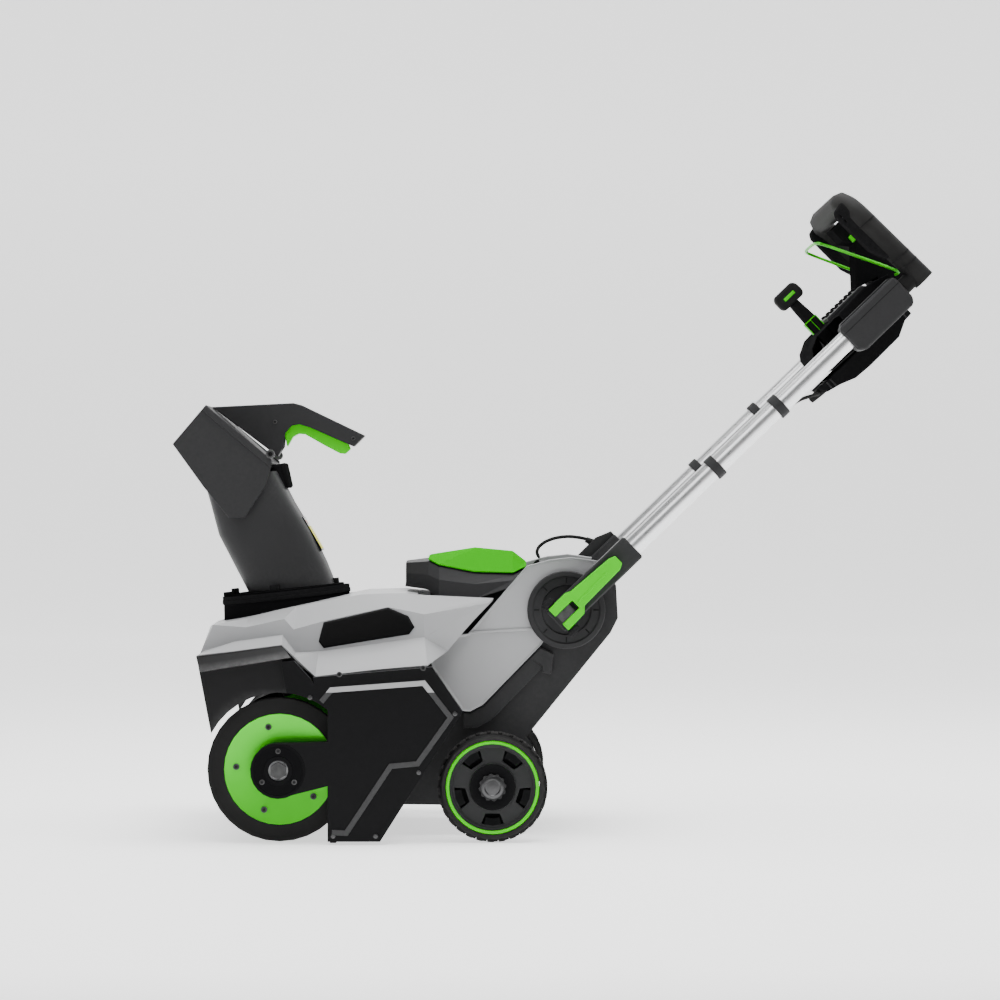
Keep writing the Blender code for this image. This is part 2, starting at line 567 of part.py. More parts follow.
TUBE = (    # front and rear of each section (x, z), half width and squareness
    ((-0.4940, 0.3970), (-0.3480, 0.4122), 0.0745, 2.0),
    ((-0.5160, 0.4400), (-0.3620, 0.4470), 0.0770, 2.2),
    ((-0.5430, 0.4930), (-0.3880, 0.5000), 0.0800, 2.6),
    ((-0.5560, 0.5450), (-0.4178, 0.5490), 0.0820, 3.4),
    ((-0.5650, 0.5800), (-0.4450, 0.6010), 0.0840, 4.5),
)
TUBE_POINTS = 24
chute_back = Matrix.Rotation(math.radians(CHUTE_TILT_DEG), 4, "Y") @ Matrix.Translation(-chute_centre)


def tube_section(front, rear, half_width, power, wall):
    """A ring between a circle and a rounded rectangle, in a slanted plane."""
    front, rear = Vector((front[0], 0, front[1])), Vector((rear[0], 0, rear[1]))
    middle, half = (front + rear) / 2, (rear - front) / 2
    length = half.length - wall
    half = half.normalized() * length
    points = []
    for k in range(TUBE_POINTS):
        angle = 2 * math.pi * k / TUBE_POINTS
        c, s = math.cos(angle), math.sin(angle)
        cx = math.copysign(abs(c) ** (2 / power), c)
        cy = math.copysign(abs(s) ** (2 / power), s)
        points.append(chute_back @ (middle + half * cx + Vector((0, (half_width - wall) * cy, 0))))
    return points


outer = [tube_section(*s, 0.0) for s in TUBE]
inner = [tube_section(*s, 0.003) for s in TUBE]
tube = loft("chute_tube", outer + list(reversed(inner)), CHUTE_TURN, closed=True, capped=False)
mesh = bmesh.new()
mesh.from_mesh(tube.data)
bmesh.ops.bridge_loops(mesh, edges=[e for e in mesh.edges if e.is_boundary])
bmesh.ops.recalc_face_normals(mesh, faces=mesh.faces)
mesh.to_mesh(tube.data)
mesh.free()
finish(tube, (CHARCOAL, 0.42, 0.0))

LATCH = [(-0.4395, 0.6120), (-0.4300, 0.6140), (-0.4215, 0.5760), (-0.4255, 0.5715), (-0.4295, 0.5790)]


def to_chute(outline):
    """World (x, z) points, as points of the chute's own tilted frame."""
    return [((chute_back @ Vector((x, 0, z))).x, (chute_back @ Vector((x, 0, z))).z) for x, z in outline]


finish(slab("deflector_latch", to_chute(LATCH), -0.0300, 0.0300, CHUTE_TURN),
       (BLACK, 0.4, 0.0))

DEFLECT = empty("deflector_axis", (DEFLECTOR_PIVOT[0], 0, DEFLECTOR_PIVOT[1]))


def about(centre, outline):
    return [(x - centre[0], z - centre[1]) for x, z in outline]


HOOD = [(-0.5585, 0.7107), (-0.6141, 0.6452), (-0.5627, 0.5740), (-0.5206, 0.5225), (-0.4937, 0.5225),
        (-0.4588, 0.5763), (-0.4483, 0.6136)]
HOOD_INSIDE = [(-0.5950, 0.7340), (-0.6700, 0.6452), (-0.5627, 0.4500), (-0.4300, 0.4800), (-0.4300, 0.5950),
               (-0.4503, 0.6112)]
hood = slab("chute_deflector", about(DEFLECTOR_PIVOT, HOOD), -0.0925, 0.0925, DEFLECT)
cut(hood, slab("hood_inside", about(DEFLECTOR_PIVOT, HOOD_INSIDE), -0.0895, 0.0895, DEFLECT, True))
finish(hood, (CHARCOAL, 0.42, 0.0))

GRIP = [(-0.5560, 0.7092), (-0.4900, 0.7125), (-0.4180, 0.7160), (-0.4030, 0.7120), (-0.2970, 0.6610),
        (-0.3160, 0.6420), (-0.3900, 0.6745), (-0.4080, 0.6800), (-0.4210, 0.6775), (-0.4320, 0.6650),
        (-0.4345, 0.6420), (-0.4445, 0.6255)]
grip = slab("deflector_grip", about(DEFLECTOR_PIVOT, GRIP), -0.0165, 0.0165, DEFLECT)
GRIP_SLOT = [(-0.4385, 0.6600), (-0.4300, 0.6850), (-0.4060, 0.6950), (-0.3220, 0.6570), (-0.3150, 0.6200),
             (-0.4385, 0.6200)]
cut(grip, slab("grip_slot", about(DEFLECTOR_PIVOT, GRIP_SLOT), -0.0112, 0.0112, DEFLECT, True))
finish(grip, (CHARCOAL, 0.38, 0.0))

TRIGGER_PIVOT = (-0.3235, 0.6430)
TRIGGER = [(-0.4290, 0.6420), (-0.4190, 0.6590), (-0.4100, 0.6640), (-0.3995, 0.6635), (-0.3630, 0.6430),
           (-0.3400, 0.6310), (-0.3310, 0.6300), (-0.3215, 0.6385), (-0.3270, 0.6500), (-0.3900, 0.6780),
           (-0.4080, 0.6830), (-0.4230, 0.6800), (-0.4335, 0.6650)]
TRIGGER_AXIS = empty("trigger_axis", (TRIGGER_PIVOT[0], 0, TRIGGER_PIVOT[1]))
finish(slab("deflector_trigger", about(TRIGGER_PIVOT, TRIGGER), -0.0106, 0.0106, TRIGGER_AXIS), (LIME, 0.3, 0.0))

# ---------------------------------------------------------------- handle, drawn along its tubes (u) and across (v)
HANDLE = empty("handle_axis", (PIVOT[0], 0, PIVOT[1]), -HANDLE_DEG)
CABLE_BOOT = [(0.0700, 0.0210), (0.0740, 0.0400), (0.1220, 0.0405), (0.1490, 0.0300), (0.1490, 0.0210)]
LEVER_U, LEVER_Y = -0.0135, 0.2268
LEVER_PLAN = [(-0.0200, -0.0240), (0.0180, -0.0220), (0.0270, -0.0130), (0.1080, -0.0110), (0.1180, -0.0060),
              (0.1180, 0.0100), (0.1080, 0.0140), (0.0270, 0.0190), (0.0180, 0.0230), (-0.0200, 0.0230)]
SLEEVE_PLAN = [(0.6340, -0.0250), (0.6450, -0.0330), (0.7510, -0.0330), (0.7585, -0.0230), (0.7585, 0.0200),
               (0.7530, 0.0235), (0.6400, 0.0235), (0.6340, 0.0180)]
for side_name, side in SIDES:
    y0, y1 = sided(0.1768, 0.2160, side)
    bracket = block("bracket_" + side_name, (-0.0260, y0, -0.0225), (0.1500, y1, 0.0225), HANDLE, bevel=0.0025)
    bore = rod("bracket_bore_" + side_name, (0.0400, TUBE_Y * side, 0), (0.2, TUBE_Y * side, 0), TUBE_R + 0.0005, 20,
               HANDLE, True)
    bolt_bore = rod("bolt_bore_" + side_name, (0, 0.15 * side, 0), (0, 0.25 * side, 0), 0.0064, 20, HANDLE, True)
    if side_name == "right":        # the moulded boot that takes the cable from the deck
        join(bracket, slab("cable_boot", CABLE_BOOT, 0.1860, 0.2080, HANDLE, True))
    cut(bracket, bore, bolt_bore)
    finish(bracket, (CHARCOAL, 0.42, 0.0))
    tube_bar = rod("handle_tube_" + side_name, (0.0420, TUBE_Y * side, 0), (0.7200, TUBE_Y * side, 0), TUBE_R, 20,
                   HANDLE)
    cut(tube_bar, rod("tube_inside_" + side_name, (0.0, TUBE_Y * side, 0), (0.8, TUBE_Y * side, 0), TUBE_R - 0.0015,
                      20, HANDLE, True))
    finish(tube_bar, (SILVER, 0.25, 1.0))
    sleeve = slab("upper_sleeve_" + side_name, SLEEVE_PLAN, *sided(0.1750, 0.2190, side), HANDLE)
    soften(sleeve, 0.0030)
    cut(sleeve, rod("sleeve_bore_" + side_name, (0.6, TUBE_Y * side, 0), (0.7205, TUBE_Y * side, 0),
                    TUBE_R + 0.0005, 20, HANDLE, True))
    finish(sleeve, (CHARCOAL, 0.42, 0.0))
    pivot_bolt = rod("pivot_bolt_" + side_name, (0, 0.1690 * side, 0), (0, 0.2300 * side, 0), 0.0060, 20, HANDLE)
    y0, y1 = sided(0.2165, 0.2300, side)
    join(pivot_bolt, block("bolt_eye_" + side_name, (-0.0180, y0, -0.0092), (0.0100, y1, 0.0062), HANDLE, True))
    finish(pivot_bolt, (BLACK, 0.45, 0.3))
    lever_axis = empty("lever_axis_" + side_name, (LEVER_U, LEVER_Y * side, 0))
    lever_axis.parent = HANDLE
    y0, y1 = sided(-0.0070, 0.0070, side)
    lever = slab("quick_lever_" + side_name, [(u - LEVER_U, v) for u, v in LEVER_PLAN], y0, y1, lever_axis)
    cut(lever, block("fork_slot_" + side_name, (-0.0200, -0.0300, -0.0098), (0.0180 - LEVER_U, 0.0300, 0.0068),
                     lever_axis, True))
    finish(lever, (LIME, 0.3, 0.0))

LOOP_R, LOOP_LOW, LOOP_TOP, LOOP_Y = 0.0185, -0.0180, 0.1660, 0.1970
CORNER = 0.040


def loop_u(v):
    return 0.7930 - 0.028 * (v - LOOP_LOW)


loop_path = [(-LOOP_Y, LOOP_LOW), (-LOOP_Y, 0.045)]
loop_path += [(-LOOP_Y + CORNER - CORNER * math.cos(a), LOOP_TOP - CORNER + CORNER * math.sin(a))
              for a in [math.radians(15 * k) for k in range(7)]]
loop_path += [(-y, v) for y, v in reversed(loop_path)]
loop = wire("grip_loop", [(loop_u(v), y, v) for y, v in loop_path], LOOP_R, HANDLE, 2)
for side_name, side in SIDES:
    join(loop, rod("loop_leg_" + side_name, (0.7590, LOOP_Y * side, -0.0015), (0.7900, LOOP_Y * side, -0.0015), 0.0140,
                   20, HANDLE, True))
finish(loop, (BLACK, 0.5, 0.0))

CONSOLE = [(0.5860, 0.0160), (0.5930, 0.0260), (0.6150, 0.0370), (0.7170, 0.0420), (0.7350, 0.0380),
           (0.7600, 0.0300), (0.7600, -0.0250), (0.7400, -0.0300), (0.5950, -0.0250), (0.5830, -0.0100)]
console = slab("console", CONSOLE, -0.1745, 0.1745, HANDLE)
cut(console, slab("console_inside", inset(CONSOLE, 0.0035), -0.1705, 0.1705, HANDLE, True),
    block("console_hatch", (0.6200, -0.0500, -0.0600), (0.7200, 0.0500, -0.0100), HANDLE, True),
    block("lever_gate", (0.6270, -0.0560, 0.0200), (0.6470, 0.0560, 0.0600), HANDLE, True),
    block("console_corner_left", (0.5700, -0.2000, -0.0600), (0.6560, -0.1000, 0.0600), HANDLE, True),
    block("console_corner_right", (0.5700, 0.1000, -0.0600), (0.6560, 0.2000, 0.0600), HANDLE, True))
finish(console, (BLACK, 0.45, 0.0))

POD = [(0.5600, -0.0310), (0.5680, -0.0460), (0.5920, -0.0520), (0.6180, -0.0620), (0.6490, -0.0640),
       (0.7180, -0.0630), (0.7440, -0.0500), (0.7600, -0.0490), (0.7600, -0.0320), (0.7400, -0.0310)]
pod = slab("control_pod", POD, -0.0600, 0.0600, HANDLE)
cut(pod, slab("pod_inside", inset(POD, 0.003)[:-1] + [(0.7350, -0.0200), (0.6000, -0.0200)], -0.0570, 0.0570, HANDLE,
              True))
finish(pod, (BLACK, 0.45, 0.0))

COLUMN = [(0.7250, 0.0450), (0.7760, 0.1020), (0.7640, 0.1180), (0.7640, 0.1450), (0.7890, 0.1455), (0.8000, 0.0200),
          (0.8000, -0.0150), (0.7640, -0.0150), (0.7640, 0.0340)]
column = slab("handle_column", COLUMN, -0.0400, 0.0400, HANDLE)
cut(column, block("button_hole", (0.7740, -0.0600, 0.1035), (0.7845, -0.0240, 0.1165), HANDLE, True))
soften(column, 0.0020)
finish(column, (BLACK, 0.45, 0.0))

BUTTON = (0.7793, -0.0380, 0.1100)
button_axis = empty("button_axis", BUTTON)
button_axis.parent = HANDLE
button = block("lock_button", (-0.0048, -0.0090, -0.0060), (0.0048, 0.0070, 0.0060), button_axis, bevel=0.0012)
finish(button, (LIME, 0.3, 0.0))

BAIL_PIVOT = (0.7870, 0.0160)
bail_axis = empty("bail_axis", (BAIL_PIVOT[0], 0, BAIL_PIVOT[1]))
bail_axis.parent = HANDLE
bail_path = [(0.0000, 0.0405, 0.0000), (0.0000, 0.1050, 0.0000), (-0.0030, 0.1150, 0.0070),
             (-0.0600, 0.1050, 0.1230), (-0.0650, 0.0950, 0.1330)]
bail_path = [(x, -y, z) for x, y, z in bail_path] + [(x, y, z) for x, y, z in reversed(bail_path)]
finish(wire("bail", bail_path, 0.0026, bail_axis, 2), (LIME, 0.3, 0.0))

LEVER_PIVOT = (0.6370, 0.0, -0.0050)
lever_pivot = empty("chute_lever_axis", LEVER_PIVOT)
lever_pivot.parent = HANDLE
stem = rod("chute_lever", (0, 0, 0.0), (-0.0010, 0, 0.1080), 0.0085, 14, lever_pivot, radius_end=0.0065)
KNOB = [(-0.0230, 0.1080), (-0.0180, 0.1040), (0.0200, 0.1040), (0.0250, 0.1090), (0.0250, 0.1260), (0.0190, 0.1330),
        (-0.0180, 0.1330), (-0.0230, 0.1270)]
join(stem, slab("lever_knob", KNOB, -0.0130, 0.0130, lever_pivot, True))
finish(stem, (BLACK, 0.4, 0.0))

CABLE_R = 0.0032
cable_path = [(0.1504, -0.1765, -0.0060), (0.1700, -0.1735, -0.0080), (0.1950, -0.1725, -0.0090),
              (0.4900, -0.1725, -0.0090), (0.5200, -0.1500, -0.0200), (0.5450, -0.1000, -0.0330),
              (0.5530, -0.0500, -0.0380), (0.5580, -0.0300, -0.0385), (0.5600, -0.0200, -0.0385)]
finish(wire("control_cable", cable_path, CABLE_R, HANDLE, 2), (BLACK, 0.5, 0.0))

CABLE = [(0.0000, 0.1400, 0.4505), (-0.0060, 0.1410, 0.4600), (-0.0020, 0.1450, 0.4710), (0.0120, 0.1520, 0.4810),
         (0.0300, 0.1640, 0.4865), (0.0500, 0.1800, 0.4885), (0.0700, 0.1930, 0.4865), (0.0896, 0.1970, 0.4817)]
finish(wire("cable_loop", CABLE, CABLE_R, None, 2), (BLACK, 0.5, 0.0))

# ---------------------------------------------------------------- origin
for obj in list(PARTS.objects) + list(CUTTERS.objects):
    if obj.parent is None:
        obj.location.x += ORIGIN_SHIFT
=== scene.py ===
import json
import math

import bmesh
import bpy
from bpy.props import FloatProperty, FloatVectorProperty, IntProperty, PointerProperty
from mathutils import Matrix, Vector

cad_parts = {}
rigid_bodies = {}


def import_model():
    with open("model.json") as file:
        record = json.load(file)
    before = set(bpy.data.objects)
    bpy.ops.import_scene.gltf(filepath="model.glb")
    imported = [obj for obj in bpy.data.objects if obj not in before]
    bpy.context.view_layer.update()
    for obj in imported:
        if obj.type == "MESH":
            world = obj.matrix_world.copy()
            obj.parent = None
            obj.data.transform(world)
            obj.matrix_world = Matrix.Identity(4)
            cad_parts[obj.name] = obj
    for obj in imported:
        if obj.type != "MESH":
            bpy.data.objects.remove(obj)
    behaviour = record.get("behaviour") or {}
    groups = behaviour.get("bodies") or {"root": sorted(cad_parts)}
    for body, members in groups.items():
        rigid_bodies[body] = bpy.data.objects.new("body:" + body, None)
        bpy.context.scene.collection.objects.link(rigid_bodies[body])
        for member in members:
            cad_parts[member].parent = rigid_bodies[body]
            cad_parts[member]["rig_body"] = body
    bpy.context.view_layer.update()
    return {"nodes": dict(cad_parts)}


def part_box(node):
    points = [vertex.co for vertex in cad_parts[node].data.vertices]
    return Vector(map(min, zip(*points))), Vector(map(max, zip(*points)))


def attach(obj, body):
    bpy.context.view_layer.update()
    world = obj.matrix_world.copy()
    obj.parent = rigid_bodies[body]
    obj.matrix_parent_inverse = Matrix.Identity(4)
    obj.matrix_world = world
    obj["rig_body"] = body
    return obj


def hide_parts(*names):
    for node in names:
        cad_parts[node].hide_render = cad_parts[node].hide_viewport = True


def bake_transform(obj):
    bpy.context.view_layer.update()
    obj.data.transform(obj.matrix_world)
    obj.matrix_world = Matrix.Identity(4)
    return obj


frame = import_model()

bl_info = {
    "name": "Walk-behind snow blower",
    "version": (1, 0, 0),
    "blender": (4, 5, 0),
    "location": "View3D > Sidebar > Snow blower",
    "description": "Adds the finished outer pieces of a walk-behind snow blower to its packed frame",
    "category": "Object",
}


# ---- places taken from the frame
def middle(node):
    low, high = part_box(node)
    return (low + high) / 2


def shift(x=0.0, y=0.0, z=0.0):
    return Matrix.Translation((x, y, z))


def turn(degrees, axis):
    return Matrix.Rotation(math.radians(degrees), 4, axis)


def facing(side):
    """Turns a piece made on +Z to look out of the machine's side."""
    return turn(-90.0 * side, "X")


def round_places(centre, radius, angles, y, side):
    """Places on a circle round the Y axis, each looking out of the machine's side."""
    spots = [(math.cos(math.radians(angle)), math.sin(math.radians(angle))) for angle in angles]
    return [shift(centre.x + radius * c, y * side, centre.z + radius * s) @ facing(side) for c, s in spots]


SIDES = (("left", -1), ("right", 1))
ROTOR = middle("auger_shaft")
WHEEL = middle("axle")
PIVOT = middle("pivot_disc_left")
HANDLE_DEG, CHUTE_DEG = 44.0, 6.0
PIVOT_BEHIND, COVER_RIB = 0.0396, 0.002
TUBE_Y, TUBE_R, LOOP_R = 0.197, 0.0165, 0.0185
CABLE_Y, CABLE_DEPTH = -0.1725, -0.009
DATUM = shift(PIVOT.x - PIVOT_BEHIND)    # the outlines below are drawn from this
HERE = shift()                           # for a piece whose corners are already in the frame
AT_ROTOR, AT_WHEEL, AT_PIVOT = (shift(spot.x, 0.0, spot.z) for spot in (ROTOR, WHEEL, PIVOT))
HANDLE = AT_PIVOT @ turn(-HANDLE_DEG, "Y")
COVER_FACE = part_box("side_cover_right")[1].y - COVER_RIB


# ---- sizes and colours a user may change
def tint(name, description, colour):
    return FloatVectorProperty(name=name, description=description, default=colour, subtype="COLOR",
                               size=3, min=0.0, max=1.0)


def length(name, description, metres):
    return FloatProperty(name=name, description=description, default=metres, unit="LENGTH", min=0.0)


def count(name, description, number, most):
    return IntProperty(name=name, description=description, default=number, min=3, max=most)


def level(name, description, amount, unit="NONE"):
    return FloatProperty(name=name, description=description, default=amount, unit=unit, min=0.0)


class BlowerColours(bpy.types.PropertyGroup):
    lime: tint("Lime", "Colour of the bright trim, levers and rotor discs", (0.05, 0.6, 0.0))
    lime_dark: tint("Deep lime", "Colour of the lid panel", (0.02, 0.33, 0.0))
    grey: tint("Deck grey", "Colour of the deck and the rear fairings", (0.37, 0.373, 0.38))
    charcoal: tint("Charcoal", "Colour of the chute, lid and handle mouldings", (0.03, 0.03, 0.031))
    black: tint("Black", "Colour of the housing, covers and frame", (0.0065, 0.0065, 0.007))
    rubber: tint("Rubber", "Colour of the tyres, paddles and cables", (0.01, 0.01, 0.01))
    metal: tint("Aluminium", "Colour of the handle tubes", (0.8, 0.805, 0.815))
    steel: tint("Steel", "Colour of the fasteners and the shaft", (0.48, 0.48, 0.49))


class BlowerSizes(bpy.types.PropertyGroup):
    edge: length("Edge radius", "Rounding of the moulded pieces' edges", 0.0012)
    tread: length("Tread depth", "Height of the tyres' blocks", 0.0042)
    blocks: count("Tread blocks", "Blocks in one row round a tyre", 30, 60)
    rivets: count("Rotor rivets", "Rivets round each end disc of the rotor", 5, 12)
    rivet_circle: length("Rivet circle", "Radius of the circle that the rivets stand on", 0.07)


class BlowerStage(bpy.types.PropertyGroup):
    floor: tint("Floor", "Colour of the studio floor", (0.9, 0.9, 0.9))
    key: level("Key light", "Power of the large front light", 50.0, "POWER")
    top: level("Top light", "Power of the light overhead", 250.0, "POWER")
    sky: level("Surround", "Strength of the even white surround", 0.22)
    glow: level("Floor glow", "How far the floor is lit from within, to stay pale", 1.25)


# ---- modelling helpers
def clear():
    bpy.ops.object.select_all(action="DESELECT")


def hold(*pieces):
    """Select these pieces alone, and make the first of them active."""
    clear()
    for piece in pieces:
        piece.select_set(True)
    bpy.context.view_layer.objects.active = pieces[0]


def fresh(name):
    """Name what an operator has just added, with its place and size in its mesh."""
    piece = bpy.context.object
    piece.name = name
    piece.data.name = name
    bpy.ops.object.transform_apply(location=True, rotation=True, scale=True)
    return piece


class Edit:
    """Edit mode on one piece; pick() selects its corners, edges or faces by a test."""

    def __init__(self, piece, parts="FACE"):
        self.piece, self.parts = piece, parts

    def __enter__(self):
        hold(self.piece)
        bpy.ops.object.mode_set(mode="EDIT")
        bpy.ops.mesh.select_mode(type=self.parts)
        bpy.ops.mesh.select_all(action="DESELECT")
        return self

    def pick(self, test):
        bpy.ops.mesh.select_all(action="DESELECT")
        mesh = bmesh.from_edit_mesh(self.piece.data)
        parts = {"VERT": mesh.verts, "EDGE": mesh.edges, "FACE": mesh.faces}[self.parts]
        for part in parts:
            if test(part):
                part.select_set(True)
        mesh.select_flush_mode()
        bmesh.update_edit_mesh(self.piece.data)

    def outwards(self):
        bpy.ops.mesh.select_all(action="SELECT")
        bpy.ops.mesh.remove_doubles(threshold=0.00001)
        bpy.ops.mesh.normals_make_consistent(inside=False)

    def __exit__(self, *problem):
        bpy.ops.object.mode_set(mode="OBJECT")


def outline(name, points, filled=True):
    """A circle primitive with one corner for each point, its corners moved to the points."""
    clear()
    fill = "NGON" if filled else "NOTHING"
    bpy.ops.mesh.primitive_circle_add(vertices=len(points), radius=0.1, fill_type=fill)
    piece = fresh(name)
    moves = [Vector(point) - vert.co for point, vert in zip(points, piece.data.vertices)]
    with Edit(piece, "VERT") as edit:
        for number, move in enumerate(moves):
            edit.pick(lambda vert: vert.index == number)
            bpy.ops.transform.translate(value=move)
    return piece


def plate(name, shape, low, high, side=1):
    """A flat shape of (x, z) points, from low to high along Y, or along -Y when side is -1."""
    piece = outline(name, [(x, low * side, z) for x, z in shape])
    with Edit(piece) as edit:
        bpy.ops.mesh.select_all(action="SELECT")
        bpy.ops.mesh.extrude_region_move(TRANSFORM_OT_translate={"value": (0.0, (high - low) * side, 0.0)})
        edit.outwards()
    return piece


def sector(name, inner, outer, half_angle, low, high, side=1, steps=6):
    """A piece of a flat ring round the Y axis, centred on +X."""
    angles = [math.radians(half_angle * (2.0 * k / steps - 1.0)) for k in range(steps + 1)]
    shape = [(outer * math.cos(a), outer * math.sin(a)) for a in angles]
    shape += [(inner * math.cos(a), inner * math.sin(a)) for a in reversed(angles)]
    return plate(name, shape, low, high, side)


def turned(name, profile, steps=48, side=1):
    """A closed profile of (radius, y) points, spun round the Y axis; side -1 mirrors it."""
    piece = outline(name, [(r, y * side, 0.0) for r, y in profile], filled=False)
    with Edit(piece, "EDGE") as edit:
        bpy.ops.mesh.select_all(action="SELECT")
        bpy.ops.mesh.spin(steps=steps, angle=2 * math.pi, center=(0.0, 0.0, 0.0), axis=(0.0, 1.0, 0.0))
        edit.outwards()
    return piece


def block(name, low, high):
    """A box between two opposite corners."""
    size = [abs(b - a) for a, b in zip(low, high)]
    centre = [(a + b) / 2 for a, b in zip(low, high)]
    clear()
    bpy.ops.mesh.primitive_cube_add(size=1.0, location=centre, scale=size)
    return fresh(name)


def pan(piece, towards, thickness, depth):
    """Inset the faces that look one way and push them in (or out, with a negative depth)."""
    way = Vector(towards)
    with Edit(piece) as edit:
        edit.pick(lambda face: face.normal.dot(way) > 0.98)
        bpy.ops.mesh.inset(thickness=thickness, depth=-depth)


def apply(piece, kind, **settings):
    """Add a modifier of one kind and apply it."""
    hold(piece)
    modifier = piece.modifiers.new(kind.lower(), kind)
    for key, value in settings.items():
        setattr(modifier, key, value)
    bpy.ops.object.modifier_apply(modifier=modifier.name)
    return piece


def crisp(piece, width, segments=2, angle=30.0):
    """Round the edges, then shade so that flats stay flat."""
    if width:
        apply(piece, "BEVEL", width=width, segments=segments, limit_method="ANGLE",
              angle_limit=math.radians(angle), use_clamp_overlap=True)
    hold(piece)
    bpy.ops.object.shade_smooth_by_angle(angle=math.radians(angle + 12.0))
    apply(piece, "WEIGHTED_NORMAL", keep_sharp=True)


def settle(piece, where):
    """Put a piece in its place, with the place in its mesh."""
    piece.matrix_world = where
    hold(piece)
    bpy.ops.object.transform_apply(location=True, rotation=True, scale=True)


def joined(pieces):
    """Several new pieces, joined into one mesh."""
    hold(*pieces)
    if len(pieces) > 1:
        bpy.ops.object.join()
    return pieces[0]


def repeat(piece, places):
    """One piece at each of several places, joined into one mesh."""
    copies = [piece]
    for _ in places[1:]:
        hold(piece)
        bpy.ops.object.duplicate()
        copies.append(bpy.context.object)
    for copy, where in zip(copies, places):
        settle(copy, where)
    return joined(copies)


def both_sides(piece):
    """The same shape on the right and on the left of the machine."""
    return apply(piece, "MIRROR", use_axis=(False, True, False), use_mirror_merge=False)


def screw_head(name, radius, height, corners=18):
    """A round head on +Z with a recessed drive."""
    clear()
    bpy.ops.mesh.primitive_cylinder_add(vertices=corners, radius=radius, depth=height,
                                        location=(0.0, 0.0, height / 2))
    piece = fresh(name)
    with Edit(piece) as edit:
        edit.pick(lambda face: face.normal.z > 0.9)
        bpy.ops.mesh.inset(thickness=radius * 0.22, depth=height * 0.25)
        bpy.ops.mesh.inset(thickness=radius * 0.26, depth=0.0)
        bpy.ops.mesh.inset(thickness=radius * 0.04, depth=-height * 0.45)
    return piece


def coat(piece, look):
    """Give a piece one finish in place of any other."""
    piece.data.materials.clear()
    piece.data.materials.append(LOOKS[look])


def finish_piece(piece, look, body, where=DATUM, stands_for=(), width=0.0, segments=2, angle=30.0):
    """Place, round, paint and attach one piece."""
    settle(piece, where)
    crisp(piece, width, segments, angle)
    coat(piece, look)
    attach(piece, body)
    if stands_for:
        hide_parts(*stands_for)


def merged_copy(node, flat=0.0, rounds=0):
    """A copy of a CAD piece with its corners merged, flat faces made whole, and rounded when asked."""
    piece = bpy.data.objects.new(node + "_skin", frame["nodes"][node].data.copy())
    bpy.context.scene.collection.objects.link(piece)
    hold(piece)
    bpy.ops.mesh.customdata_custom_splitnormals_clear()
    with Edit(piece, "VERT") as edit:
        edit.outwards()
        if flat:
            bpy.ops.mesh.dissolve_limited(angle_limit=math.radians(flat))
    if rounds:
        apply(piece, "SUBSURF", levels=rounds, render_levels=rounds)
    return piece


def refine(node, look, width=None, segments=2, angle=30.0, flat=0.6, rounds=0):
    """A merged copy of a CAD piece, with rounded edges and a finish, that stands for it."""
    width = bpy.context.scene.blower_sizes.edge if width is None else width
    body = frame["nodes"][node]["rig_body"]
    finish_piece(merged_copy(node, flat, rounds), look, body, HERE, (node,), width, segments, angle)


# ---- finishes
LOOKS = {}


class Wire:
    """A shader socket that takes part in plain arithmetic."""

    def __init__(self, kit, socket):
        self.kit, self.socket = kit, socket

    def math(self, operation, first, second):
        return self.kit.add("ShaderNodeMath", {"operation": operation}, {0: first, 1: second})

    def __add__(self, other):
        return self.math("ADD", self, other)

    def __radd__(self, other):
        return self.math("ADD", other, self)

    def __sub__(self, other):
        return self.math("SUBTRACT", self, other)

    def __rsub__(self, other):
        return self.math("SUBTRACT", other, self)

    def __mul__(self, other):
        return self.math("MULTIPLY", self, other)

    def __rmul__(self, other):
        return self.math("MULTIPLY", other, self)

    def above(self, limit):
        return self.math("GREATER_THAN", self, limit)


